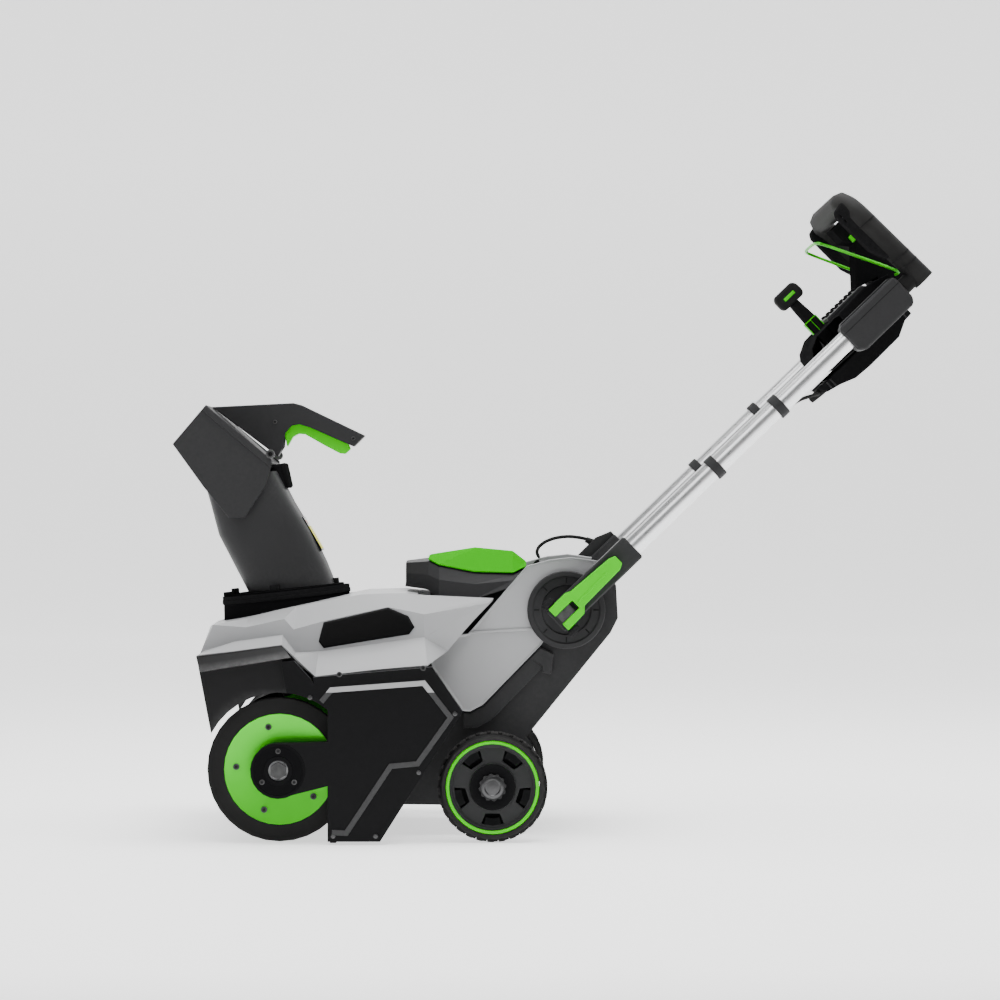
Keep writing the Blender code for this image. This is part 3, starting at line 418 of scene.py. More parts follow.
class Kit:
    """The nodes of one finish."""

    def __init__(self, name, **constants):
        self.name = name
        self.material = bpy.data.materials.new(name)
        self.material.use_nodes = True
        self.tree = self.material.node_tree
        self.shader = self.tree.nodes["Principled BSDF"]
        for key, value in constants.items():
            self.shader.inputs[key.replace("_", " ")].default_value = value
        self.place = self.add("ShaderNodeTexCoord", output="Object")

    def add(self, kind, settings=None, values=None, output=0):
        made = self.tree.nodes.new(kind)
        for key, value in (settings or {}).items():
            if key == "stops":
                ramp = made.color_ramp
                while len(ramp.elements) < len(value):
                    ramp.elements.new(0.5)
                for element, (position, level) in zip(ramp.elements, value):
                    element.position = position
                    element.color = (level, level, level, 1.0)
            else:
                setattr(made, key, value)
        for key, value in (values or {}).items():
            self.feed(made.inputs[key], value)
        return Wire(self, made.outputs[output])

    def feed(self, socket, value):
        if isinstance(value, Wire):
            self.tree.links.new(value.socket, socket)
        else:
            socket.default_value = value

    def noise(self, scale, detail=2.0, roughness=0.5, place=None):
        return self.add("ShaderNodeTexNoise", {}, {"Vector": place or self.place, "Scale": scale,
                                                    "Detail": detail, "Roughness": roughness})

    def axis(self, letter):
        """How far along one axis a point of the surface is."""
        return self.add("ShaderNodeSeparateXYZ", {}, {0: self.place}, output=letter)

    def grain(self, depth):
        """Fine spark-eroded grain: the broader of its two noises is returned."""
        speck = self.noise(210.0, 4.0, 0.6)
        self.bump(self.noise(1700.0, 2.0, 0.6) + speck * 0.5, depth)
        return speck

    def ramp(self, value, *stops):
        return self.add("ShaderNodeValToRGB", {"stops": stops}, {0: value})

    def mix(self, amount, first, second):
        return self.add("ShaderNodeMix", {"data_type": "RGBA"}, {0: amount, 6: first, 7: second}, output=2)

    def stretched(self, scale, rotation=(0.0, 0.0, 0.0)):
        """Coordinates turned, then squeezed along chosen axes."""
        return self.add("ShaderNodeMapping", {"vector_type": "TEXTURE"},
                        {"Vector": self.place, "Rotation": rotation, "Scale": scale})

    def edges(self, low=0.515, high=0.6):
        """Where the surface bends outwards, for wear along edges."""
        bend = self.add("ShaderNodeNewGeometry", output="Pointiness")
        return self.ramp(bend, (low, 0.0), (high, 1.0))

    def bump(self, height, depth, strength=1.0):
        normal = self.add("ShaderNodeBump", {}, {"Strength": strength, "Distance": depth, "Height": height})
        self.feed(self.shader.inputs["Normal"], normal)

    def paint(self, **links):
        for key, value in links.items():
            self.feed(self.shader.inputs[key.replace("_", " ")], value)
        LOOKS[self.name] = self.material
        return self.material


def shade(colour, factor):
    """A colour made darker or paler, with its alpha."""
    return (*(min(1.0, channel * factor) for channel in colour), 1.0)


def moulded(name, colour, roughness, grain=0.00012, spread=0.1, wear=0.25, coat=0.0, gloss=0.12):
    """Moulded plastic: fine spark-eroded grain, faint flow marks, and paler rubbed edges."""
    kit = Kit(name, Coat_Weight=coat, Coat_Roughness=0.12, Specular_IOR_Level=gloss)
    broad = kit.noise(6.0, 3.0)
    speck = kit.grain(grain)
    base = kit.mix(broad * 0.6 + speck * 0.4, shade(colour, 1.0 - spread), shade(colour, 1.0 + spread))
    rubbed = [channel * (1 - 0.12) + 0.12 * 0.55 for channel in colour]
    base = kit.mix(kit.edges() * wear * speck, base, (*rubbed, 1.0))
    kit.paint(Base_Color=base, Roughness=roughness - 0.07 + broad * 0.07 + speck * 0.08)


def banded_with_painted_light(name, colour, level, top_lit_height):
    """Black moulding whose raised band is painted paler as a highlight, and palest along the top, as painted
    light from above.
    """
    kit = Kit(name, Specular_IOR_Level=0.06)
    band = kit.add("ShaderNodeMath", {"operation": "ABSOLUTE"}, {0: kit.axis("Y")}).above(level)
    speck = kit.grain(0.00012)
    base = kit.mix(speck, shade(colour, 0.85), shade(colour, 1.15))
    # painted highlight: the raised band is made paler than the black field
    painted_band_highlight = kit.mix(speck, (0.04, 0.04, 0.041, 1.0), (0.06, 0.06, 0.061, 1.0))
    base = kit.mix(band, base, painted_band_highlight)
    # painted light from above: the band is palest where it runs along the top flange
    base = kit.mix(band * kit.axis("Z").above(top_lit_height), base, (0.34, 0.34, 0.345, 1.0))
    kit.paint(Base_Color=base, Roughness=0.34 + speck * 0.1)


def painted_steel(name, colour, roughness, metallic=0.0, coat=0.05, gloss=0.15):
    """Sprayed steel: soft orange peel under the gloss."""
    kit = Kit(name, Coat_Weight=coat, Coat_Roughness=0.08, Metallic=metallic, Specular_IOR_Level=gloss)
    peel = kit.noise(420.0, 2.0, 0.4)
    broad = kit.noise(12.0, 3.0)
    base = kit.mix(broad, shade(colour, 0.92), shade(colour, 1.06))
    base = kit.mix(kit.edges(0.53, 0.62) * 0.5 * kit.noise(90.0, 3.0), base, (0.45, 0.45, 0.45, 1.0))
    kit.bump(peel, 0.0001)
    kit.paint(Base_Color=base, Roughness=roughness + peel * 0.08)


def brushed(name, colour, roughness, along, rotation=(0.0, 0.0, 0.0), grain=0.00006):
    """Drawn or brushed metal, its lines along one direction."""
    kit = Kit(name, Metallic=1.0)
    lines = kit.noise(900.0, 3.0, 0.7, kit.stretched(along, rotation))
    broad = kit.noise(14.0, 3.0)
    smudge = kit.noise(60.0, 4.0, 0.6)
    base = kit.mix(lines * 0.7 + broad * 0.3, shade(colour, 0.86), shade(colour, 1.08))
    kit.bump(lines, grain)
    kit.paint(Base_Color=base, Roughness=roughness - 0.08 + lines * 0.12 + smudge * 0.08)


def ringed(name, colour, centre, roughness, metallic):
    """Lacquered metal turned on a lathe: fine rings round its own axis and broad soft sectors."""
    kit = Kit(name, Coat_Weight=0.1, Coat_Roughness=0.1)
    at = kit.add("ShaderNodeVectorMath", {"operation": "SUBTRACT"}, {0: kit.place, 1: centre})
    flat = kit.add("ShaderNodeVectorMath", {"operation": "MULTIPLY"}, {0: at, 1: (1.0, 0.0, 1.0)})
    radius = kit.add("ShaderNodeVectorMath", {"operation": "LENGTH"}, {0: flat}, output="Value")
    rings = kit.add("ShaderNodeTexNoise", {"noise_dimensions": "1D"}, {"W": radius * 2600.0, "Scale": 1.0,
                                                                       "Detail": 3.0})
    broad = kit.noise(9.0, 3.0)
    base = kit.mix(rings * 0.5 + broad * 0.5, shade(colour, 0.84), shade(colour, 1.1))
    kit.bump(rings, 0.00008)
    kit.paint(Base_Color=base, Roughness=roughness + rings * 0.1, Metallic=metallic - 0.1 + broad * 0.2)


def rubbery(name, colour, grain, dust=0.18):
    """Rubber: matt, finely pitted, a little dusty in the open."""
    kit = Kit(name, Specular_IOR_Level=0.1)
    pits = kit.noise(640.0, 3.0, 0.7)
    broad = kit.noise(18.0, 4.0, 0.6)
    base = kit.mix(broad, shade(colour, 0.8), shade(colour, 1.25))
    base = kit.mix(kit.edges() * dust * broad, base, (0.16, 0.155, 0.15, 1.0))
    kit.bump(pits, grain)
    kit.paint(Base_Color=base, Roughness=0.58 + pits * 0.18 + broad * 0.08)


def cast(name, colour):
    """Sand-cast alloy with a rough skin."""
    kit = Kit(name, Metallic=0.85)
    skin = kit.noise(380.0, 5.0, 0.65)
    broad = kit.noise(20.0, 3.0)
    base = kit.mix(skin * 0.5 + broad * 0.5, shade(colour, 0.75), shade(colour, 1.1))
    kit.bump(skin, 0.0004)
    kit.paint(Base_Color=base, Roughness=0.42 + skin * 0.2)


class BLOWER_OT_finishes(bpy.types.Operator):
    """Make the finishes of every piece"""

    bl_idname = "blower.finishes"
    bl_label = "Finishes"

    def execute(self, context):
        paint = context.scene.blower_colours
        handle_turn = (0.0, math.radians(-HANDLE_DEG), 0.0)
        moulded("black_plastic", paint.black, 0.36, wear=0.35, gloss=0.0)
        # the cover's finish carries a painted highlight on its raised band and painted top light on its
        # flange
        banded_with_painted_light("cover_plastic", paint.black, COVER_FACE + 0.0012, 0.244)
        moulded("charcoal_plastic", paint.charcoal, 0.42, wear=0.3, gloss=0.06)
        moulded("grey_plastic", paint.grey, 0.36, grain=0.00006, spread=0.03, wear=0.0, coat=0.15)
        moulded("lime_plastic", paint.lime, 0.34, grain=0.00005, spread=0.05, wear=0.0, coat=0.05, gloss=0.05)
        moulded("lime_deep", paint.lime_dark, 0.4, grain=0.00005, spread=0.05, wear=0.0, gloss=0.0)
        moulded("gloss_black", shade(paint.black, 0.5)[:3], 0.22, grain=0.00003, wear=0.0, coat=0.05)
        painted_steel("black_steel", paint.black, 0.34)
        painted_steel("lime_wire", paint.lime, 0.3)
        ringed("lime_steel", paint.lime, (ROTOR.x, 0.0, ROTOR.z), 0.26, 0.55)
        brushed("aluminium", paint.metal, 0.27, (40.0, 1.0, 1.0), handle_turn)
        brushed("steel", paint.steel, 0.34, (1.0, 1.0, 1.0))
        brushed("dark_steel", shade(paint.steel, 0.16)[:3], 0.3, (1.0, 1.0, 1.0))
        cast("cast_alloy", paint.steel)
        rubbery("black_rubber", paint.rubber, 0.00018)
        for name, colour in (("label_white", (0.75, 0.75, 0.74)), ("label_yellow", (0.7, 0.66, 0.03)),
                             ("label_red", (0.45, 0.03, 0.02))):
            moulded(name, colour, 0.4, grain=0.00003, wear=0.0)
        rubbery("tyre", paint.rubber, 0.0003, dust=0.35)
        return {"FINISHED"}


# ---- housing and covers
class BLOWER_OT_housing(bpy.types.Operator):
    """Finish the rotor housing, its side covers and their screws"""

    bl_idname = "blower.housing"
    bl_label = "Housing"

    def execute(self, context):
        refine("auger_housing", "black_steel", 0.0008)
        refine("scraper_blade", "black_plastic", 0.0008)
        for side_name, side in SIDES:
            refine("side_cover_" + side_name, "cover_plastic", 0.0011, 3)
            self.cover_screws(side_name, side)
            self.hub(side_name, side)
        return {"FINISHED"}

    def cover_screws(self, side_name, side):
        """Small screws round the cover's rim, and black ones along its top flange."""
        rim = [(-0.373, 0.236), (-0.141, 0.21), (-0.199, 0.116), (-0.268, 0.014), (-0.336, 0.014)]
        flange = [(-0.326, 0.273), (-0.192, 0.283)]
        for name, look, spots, radius in (("cover_screws_", "dark_steel", rim, 0.0038),
                                          ("flange_screws_", "black_steel", flange, 0.0044)):
            places = [shift(x, COVER_FACE * side, z) @ facing(side) for x, z in spots]
            screws = repeat(screw_head(name + side_name, radius, 0.0015), places)
            finish_piece(screws, look, "chassis")

    def hub(self, side_name, side):
        """The round bearing cap on the belt case's end, with its three screws."""
        profile = [(0.0165, -0.001), (0.044, -0.001), (0.043, 0.0008), (0.04, 0.0012), (0.039, 0.0004),
                   (0.024, 0.0004), (0.0225, 0.0018), (0.0175, 0.0018)]
        cap = turned("hub_cap_" + side_name, [(r, COVER_FACE + y) for r, y in profile], 56, side)
        finish_piece(cap, "black_plastic", "chassis", AT_ROTOR, width=0.0003)
        places = round_places(ROTOR, 0.0315, (90.0, 215.0, 325.0), COVER_FACE + 0.0002, side)
        screws = repeat(screw_head("hub_screws_" + side_name, 0.0042, 0.0014), places)
        finish_piece(screws, "black_steel", "chassis", HERE)


# ---- rotor and drive
class BLOWER_OT_rotor(bpy.types.Operator):
    """Finish the rotor, its rivets, bearings and belt drive"""

    bl_idname = "blower.rotor"
    bl_label = "Rotor"

    def execute(self, context):
        sizes = context.scene.blower_sizes
        refine("auger_shaft", "black_steel", 0.0008)
        for node in ("auger_paddle_a", "auger_paddle_b"):
            refine(node, "black_rubber", 0.001)
        refine("auger_pulley", "cast_alloy", 0.0005)
        refine("motor_pulley", "steel", 0.0005)
        refine("drive_belt", "black_rubber", 0.0005)
        refine("motor", "black_steel", 0.001)
        for side_name, side in SIDES:
            refine("auger_disc_" + side_name, "lime_steel", 0.0006)
            refine("auger_ring_" + side_name, "black_rubber", 0.0009, 3)
            refine("auger_bearing_" + side_name, "steel", 0.0005)
            angles = [105.0 + 360.0 * number / sizes.rivets for number in range(sizes.rivets)]
            places = round_places(ROTOR, sizes.rivet_circle, angles, 0.2514, side)
            rivets = repeat(screw_head("rotor_rivets_" + side_name, 0.0052, 0.0026), places)
            finish_piece(rivets, "black_steel", "rotor", HERE)
        return {"FINISHED"}


# ---- deck, frame and fairings
class BLOWER_OT_deck(bpy.types.Operator):
    """Finish the deck, its plates, the rear frame and the fairings"""

    bl_idname = "blower.deck"
    bl_label = "Deck and frame"

    def execute(self, context):
        refine("deck_shell", "grey_plastic", 0.0016, 3, 14.0)
        refine("rear_frame", "charcoal_plastic", 0.0018, 2)
        for side_name, side in SIDES:
            self.fairing(side_name, side)
            self.pivot_disc(side_name, side)
        self.badges()
        self.frame_bands()
        return {"FINISHED"}

    def badges(self):
        """A blank dark plate with a raised border on each side of the deck."""
        shape = [(-0.356, 0.353), (-0.251, 0.377), (-0.218, 0.363), (-0.208, 0.345),
                 (-0.217, 0.3335), (-0.356, 0.311), (-0.364, 0.322)]
        piece = plate("deck_plates", shape, 0.204, 0.2072)
        pan(piece, (0.0, 1.0, 0.0), 0.003, 0.0009)
        both_sides(piece)
        finish_piece(piece, "gloss_black", "chassis", width=0.0005)

    def fairing(self, side_name, side):
        """A flank panel with a raised rim, a sunk field and a fold across it."""
        shape = [(-0.194, 0.322), (-0.121, 0.333), (-0.025, 0.444), (0.013, 0.454), (0.049, 0.458),
                 (0.092, 0.452), (-0.002, 0.314), (-0.097, 0.216), (-0.118, 0.205), (-0.13, 0.206),
                 (-0.18, 0.278)]
        piece = plate("fairing_" + side_name, shape, 0.1501, 0.1665, side)
        for rim, depth in ((0.006, 0.0), (0.003, 0.0036)):
            pan(piece, (0.0, side, 0.0), rim, depth)
        finish_piece(piece, "grey_plastic", "chassis", DATUM, ("rear_fairing_" + side_name,), 0.0016, 3)
        shape = [(-0.12, 0.3322), (-0.018, 0.3384), (-0.018, 0.3424), (-0.12, 0.3362)]
        fold = plate("fairing_fold_" + side_name, shape, 0.1635, 0.1662, side)
        finish_piece(fold, "grey_plastic", "chassis", width=0.0012, segments=3)

    def pivot_disc(self, side_name, side):
        """A dished disc with a raised outer ring and eight black strips round its face, painted shade that
        stands for grooves.
        """
        profile = [(0.0066, 0.169), (0.064, 0.169), (0.064, 0.1735), (0.0625, 0.1752), (0.056, 0.1765),
                   (0.0545, 0.1754), (0.0535, 0.1744), (0.041, 0.1748), (0.0392, 0.1718), (0.0066, 0.1718)]
        piece = turned("pivot_disc_skin_" + side_name, profile, 72, side)
        finish_piece(piece, "charcoal_plastic", "chassis", AT_PIVOT, ("pivot_disc_" + side_name,), 0.0004)
        # painted shade: thin black strips in place of the grooves' dark insides
        groove_shade = block("pivot_marks_" + side_name, (0.0445, 0.1749 * side - 0.0006, -0.001),
                     (0.053, 0.1749 * side + 0.0002, 0.001))
        places = [AT_PIVOT @ turn(45.0 * number, "Y") for number in range(8)]
        finish_piece(repeat(groove_shade, places), "black_plastic", "chassis", HERE, width=0.0002)

    def frame_bands(self):
        """A raised band along each flank of the frame, under the fairing, with the tab at its top."""
        band = [(-0.13, 0.2035), (-0.118, 0.2025), (-0.097, 0.2135), (-0.0145, 0.299), (0.0035, 0.2795),
                (-0.0825, 0.1917), (-0.105, 0.179), (-0.13, 0.1765)]
        tab = [(-0.0031, 0.3101), (0.0194, 0.2999), (0.0145, 0.266), (0.0007, 0.2685), (-0.0006, 0.2799),
               (-0.0195, 0.2924)]
        for name, shape, outer in (("frame_bands", band, 0.16), ("frame_tabs", tab, 0.164)):
            piece = both_sides(plate(name, shape, 0.149, outer))
            finish_piece(piece, "charcoal_plastic", "chassis", width=0.0022, segments=3)


# ---- batteries and lid
class BLOWER_OT_batteries(bpy.types.Operator):
    """Finish the batteries and the two-tone lid over them"""

    bl_idname = "blower.batteries"
    bl_label = "Batteries and lid"

    def execute(self, context):
        for side_name, side in SIDES:
            refine("battery_" + side_name, "charcoal_plastic")
        refine("battery_lid", "charcoal_plastic", 0.0014, 3, 16.0)
        refine("lid_panel", "lime_deep", 0.0008, 2, 20.0)
        return {"FINISHED"}


# ---- wheels
class BLOWER_OT_wheels(bpy.types.Operator):
    """Make the tyres with their tread, the rims, the rings and the hub caps"""

    bl_idname = "blower.wheels"
    bl_label = "Wheels"

    def execute(self, context):
        sizes = context.scene.blower_sizes
        refine("axle", "steel", 0.0006)
        for side_name, side in SIDES:
            body = "wheel_" + side_name
            self.tyre(side_name, side, body, sizes)
            refine("rim_" + side_name, "charcoal_plastic", 0.0009, 2)
            refine("wheel_ring_" + side_name, "lime_plastic", 0.0005)
            self.rim_pads(side_name, side, body)
            self.cap(side_name, side, body)
        return {"FINISHED"}

    def rim_pads(self, side_name, side, body):
        """A black dish behind the spokes, painted darker than the rim as shade in the recessed windows, and a
        raised pad between each two of them.
        """
        profile = [(0.014, 0.23), (0.066, 0.23), (0.066, 0.2322), (0.014, 0.2312)]
        # painted shade: the recess floor is black, darker than the charcoal rim round it
        dish = turned("rim_dish_" + side_name, profile, 48, side)
        finish_piece(dish, "black_plastic", body, AT_WHEEL, width=0.0003)
        pad = sector("rim_pads_" + side_name, 0.05, 0.064, 13.0, 0.238, 0.244, side)
        pads = repeat(pad, [AT_WHEEL @ turn(18.0 + 72.0 * number, "Y") for number in range(5)])
        finish_piece(pads, "black_plastic", body, HERE, width=0.001, segments=3)

    def tyre(self, side_name, side, body, sizes):
        """A plain band of facets, its blocks picked in staggered rows and raised."""
        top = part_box("tyre_left")[1].z - WHEEL.z
        base = top - sizes.tread
        profile = [(0.0762, 0.215), (0.0815, 0.214), (base, 0.219), (base, 0.2267), (base, 0.2345),
                   (base, 0.2423), (base, 0.25), (0.0815, 0.256), (0.0762, 0.255)]
        piece = turned("tread_" + side_name, profile, sizes.blocks * 3, side)
        with Edit(piece) as edit:
            def block_face(face):
                centre = face.calc_center_median()
                radius = math.hypot(centre.x, centre.z)
                row = int(abs(centre.y) * 1000 // 7.75)
                around = math.degrees(math.atan2(centre.z, centre.x)) / 360.0 * sizes.blocks
                return abs(radius - base) < 0.0006 and (around + 0.5 * (row % 2)) % 1.0 > 0.34
            edit.pick(block_face)
            bpy.ops.mesh.inset(thickness=0.0007, depth=sizes.tread - 0.0002)
        finish_piece(piece, "tyre", body, AT_WHEEL, ("tyre_" + side_name,), 0.0004, 1)

    def cap(self, side_name, side, body):
        """A lobed cap over the axle's end, on a dark hub ring."""
        profile = [(0.018, 0.249), (0.037, 0.249), (0.037, 0.2506), (0.0345, 0.2516), (0.025, 0.2516),
                   (0.018, 0.251)]
        ring = turned("hub_ring_" + side_name, profile, 48, side)
        finish_piece(ring, "black_plastic", body, AT_WHEEL, width=0.0003)
        corners, lobes, shape = 96, 12, []
        for number in range(corners):
            angle = 2 * math.pi * number / corners
            radius = 0.0212 + 0.0011 * math.tanh(2.2 * math.sin(lobes * angle))
            shape.append((radius * math.cos(angle), radius * math.sin(angle)))
        cap = plate("wheel_cap_" + side_name, shape, 0.2505, 0.2552, side)
        finish_piece(cap, "charcoal_plastic", body, AT_WHEEL, width=0.0004)
        profile = [(0.0, 0.2545), (0.0186, 0.2545), (0.018, 0.2562), (0.015, 0.2569), (0.013, 0.2569),
                   (0.0118, 0.2556), (0.006, 0.256), (0.0, 0.2561)]
        crown = turned("wheel_crown_" + side_name, profile, 40, side)
        finish_piece(crown, "dark_steel", body, AT_WHEEL, width=0.0003)


# ---- chute and deflector
class BLOWER_OT_chute(bpy.types.Operator):
    """Finish the chute, its turning flange, the deflector and its grip"""

    bl_idname = "blower.chute"
    bl_label = "Chute"

    def execute(self, context):
        refine("chute_base", "black_plastic", 0.001)
        refine("chute_ring", "black_plastic", 0.001)
        self.tube()
        refine("deflector_latch", "black_plastic", 0.0016, 3)
        refine("chute_deflector", "charcoal_plastic", 0.0018, 3)
        refine("deflector_grip", "charcoal_plastic", 0.006, 4)
        refine("deflector_trigger", "lime_plastic", 0.0016, 3)
        self.bolts()
        self.hood_rims()
        self.latch_cheeks()
        self.ring_clips()
        self.label()
        return {"FINISHED"}

    def tube(self):
        """Rounded-square rings, from the turning flange up to the mouth, bridged into one wall."""
        sections = (    # front and rear (x, z) of each ring, half width and squareness
            ((-0.494, 0.397), (-0.348, 0.4122), 0.0745, 2.9),
            ((-0.516, 0.44), (-0.362, 0.447), 0.077, 3.2),
            ((-0.543, 0.493), (-0.388, 0.5), 0.08, 3.6),
            ((-0.556, 0.545), (-0.4178, 0.549), 0.082, 4.2),
            ((-0.565, 0.58), (-0.445, 0.601), 0.084, 5.0),
        )
        steps, rings = 48, []
        for front, rear, half_width, power in sections:
            front, rear = Vector((front[0], 0.0, front[1])), Vector((rear[0], 0.0, rear[1]))
            points = []
            for number in range(steps):
                angle = 2 * math.pi * number / steps
                along, across = (math.copysign(abs(part) ** (2 / power), part)
                                 for part in (math.cos(angle), math.sin(angle)))
                centre = (front + rear) / 2 + (rear - front) / 2 * along
                points.append(centre + Vector((0.0, half_width * across, 0.0)))
            rings.append(outline("chute_tube_skin", points, filled=False))
        piece = joined(rings)
        with Edit(piece, "EDGE") as edit:
            bpy.ops.mesh.select_all(action="SELECT")
            bpy.ops.mesh.bridge_edge_loops()
            edit.outwards()
        apply(piece, "SOLIDIFY", thickness=0.003, offset=-1.0)
        finish_piece(piece, "charcoal_plastic", "chute", stands_for=("chute_tube",), angle=50.0)

    def bolts(self):
        """The deflector's two pivot bolts, and the screws of its grip."""
        for name, radius, height, across, spots in (
                ("deflector_bolts", 0.0075, 0.004, 0.0925, ((-0.451, 0.6286),)),
                ("grip_screws", 0.0034, 0.0012, 0.0165, ((-0.449, 0.684), (-0.317, 0.656)))):
            places = [shift(x, across * side, z) @ facing(side) for x, z in spots for _, side in SIDES]
            finish_piece(repeat(screw_head(name, radius, height), places), "black_steel", "deflector")

    def hood_rims(self):
        """The rolled rim along the upper edge of each of the deflector's cheeks."""
        shape = [(-0.56, 0.709), (-0.5545, 0.706), (-0.449, 0.619), (-0.449, 0.612),
                 (-0.453, 0.608), (-0.565, 0.701)]
        rims = both_sides(plate("hood_rims", shape, 0.091, 0.0943))
        finish_piece(rims, "charcoal_plastic", "deflector", width=0.0015, segments=3)

    def latch_cheeks(self):
        """Two cheeks that carry the latch on the rear of the tube."""
        shape = [(-0.456, 0.603), (-0.446, 0.612), (-0.431, 0.615), (-0.422, 0.579),
                 (-0.4262, 0.5735), (-0.44, 0.572)]
        cheeks = both_sides(plate("latch_cheeks", shape, 0.015, 0.029))
        finish_piece(cheeks, "black_plastic", "chute", width=0.0018, segments=3)

    def ring_clips(self):
        """Small snap-in blocks where the tube is held to its turning flange."""
        tilt = shift(-0.431, 0.0, 0.393) @ turn(-CHUTE_DEG, "Y")
        clip = block("flange_clips", (-0.0075, 0.079, 0.009), (0.0075, 0.0915, 0.019))
        pan(clip, (0.0, 0.0, 1.0), 0.002, 0.001)
        places = [DATUM @ tilt @ turn(degrees, "Z") for degrees in (8.0, 98.0, 172.0, 262.0)]
        finish_piece(repeat(clip, places), "black_plastic", "chute", HERE, width=0.0008)

    def label(self):
        """A blank notice on the rear of the tube: a dark card with pale, yellow and red fields."""
        lean = DATUM @ shift(-0.3872, 0.0, 0.497) @ turn(-30.0, "Y")
        for name, look, low, high in (
                ("label_card", "gloss_black", (-0.006, -0.03, -0.035), (0.0016, 0.03, 0.03)),
                ("label_pale", "label_white", (0.0016, -0.027, 0.012), (0.0022, 0.027, 0.027)),
                ("label_yellow", "label_yellow", (0.0016, -0.027, -0.032), (0.0022, 0.027, 0.0115)),
                ("label_red", "label_red", (0.0022, -0.025, 0.015), (0.0025, -0.013, 0.024))):
            finish_piece(block(name, low, high), look, "chute", lean, width=0.0003)


# ---- handle
class BLOWER_OT_handle(bpy.types.Operator):
    """Finish the handle's brackets, tubes, sleeves, clips and quick levers"""

    bl_idname = "blower.handle"
    bl_label = "Handle"

    def execute(self, context):
        for side_name, side in SIDES:
            refine("bracket_" + side_name, "charcoal_plastic")
            refine("handle_tube_" + side_name, "aluminium", 0.0005)
            refine("upper_sleeve_" + side_name, "charcoal_plastic")
            refine("pivot_bolt_" + side_name, "black_steel", 0.0008)
            refine("quick_lever_" + side_name, "lime_plastic", 0.0016, 3)
            self.clips(side_name, side)
            self.lever_pins(side_name, side)
            self.sleeve_trim(side_name, side)
        return {"FINISHED"}

    def lever_pins(self, side_name, side):
        """The two faceted ends of the clamp pin, beside the lever's fork, and the lever's long rib."""
        parts = [block("clamp_pin_" + side_name, (-0.025, 0.217 * side, low), (-0.003, 0.233 * side, high))
                 for low, high in ((-0.036, -0.0245), (0.0235, 0.035))]
        finish_piece(joined(parts), "black_plastic", "handle", HANDLE, width=0.0036, segments=1)
        shape = [(0.02, -0.0022), (0.023, -0.0034), (0.088, -0.0012), (0.09, 0.0002), (0.088, 0.0016),
                 (0.023, 0.0004)]
        rib = plate("lever_rib_" + side_name, shape, 0.233, 0.2349, side)
        finish_piece(rib, "lime_plastic", "quick_lever_" + side_name, HANDLE, width=0.001)

    def sleeve_trim(self, side_name, side):
        """The parting line round the sleeve and the raised strip along its upper edge."""
        seam = block("sleeve_seam_" + side_name, (0.636, 0.218 * side, 0.0092),
                     (0.757, 0.2194 * side, 0.01))
        finish_piece(seam, "black_plastic", "handle", HANDLE, width=0.0002)
        shape = [(0.64, 0.0226), (0.754, 0.0226), (0.75, 0.0262), (0.644, 0.0262)]
        strip = plate("sleeve_strip_" + side_name, shape, 0.186, 0.208, side)
        finish_piece(strip, "charcoal_plastic", "handle", HANDLE, width=0.0012, segments=3)

    def clips(self, side_name, side):
        """Moulded bands round a tube; the left ones carry a holder for the control cable."""
        inner, rim, outer = TUBE_R + 0.0001, TUBE_R + 0.003, TUBE_R + 0.0036
        bands = [("tube_clips_" + side_name, 40, TUBE_Y * side, 0.0,
                  [(inner, -0.008), (rim, -0.008), (outer, -0.007),
                   (outer, 0.007), (rim, 0.008), (inner, 0.008)])]
        if side < 0:
            bands.append(("cable_holders", 24, CABLE_Y, CABLE_DEPTH,
                          [(0.0036, -0.007), (0.006, -0.007), (0.006, 0.007), (0.0036, 0.007)]))
        for name, steps, y, v, profile in bands:
            places = [HANDLE @ shift(u, y, v) @ turn(-90.0, "Z") for u in (0.336, 0.479)]
            clips = repeat(turned(name, profile, steps), places)
            finish_piece(clips, "charcoal_plastic", "handle", HERE, width=0.0004)


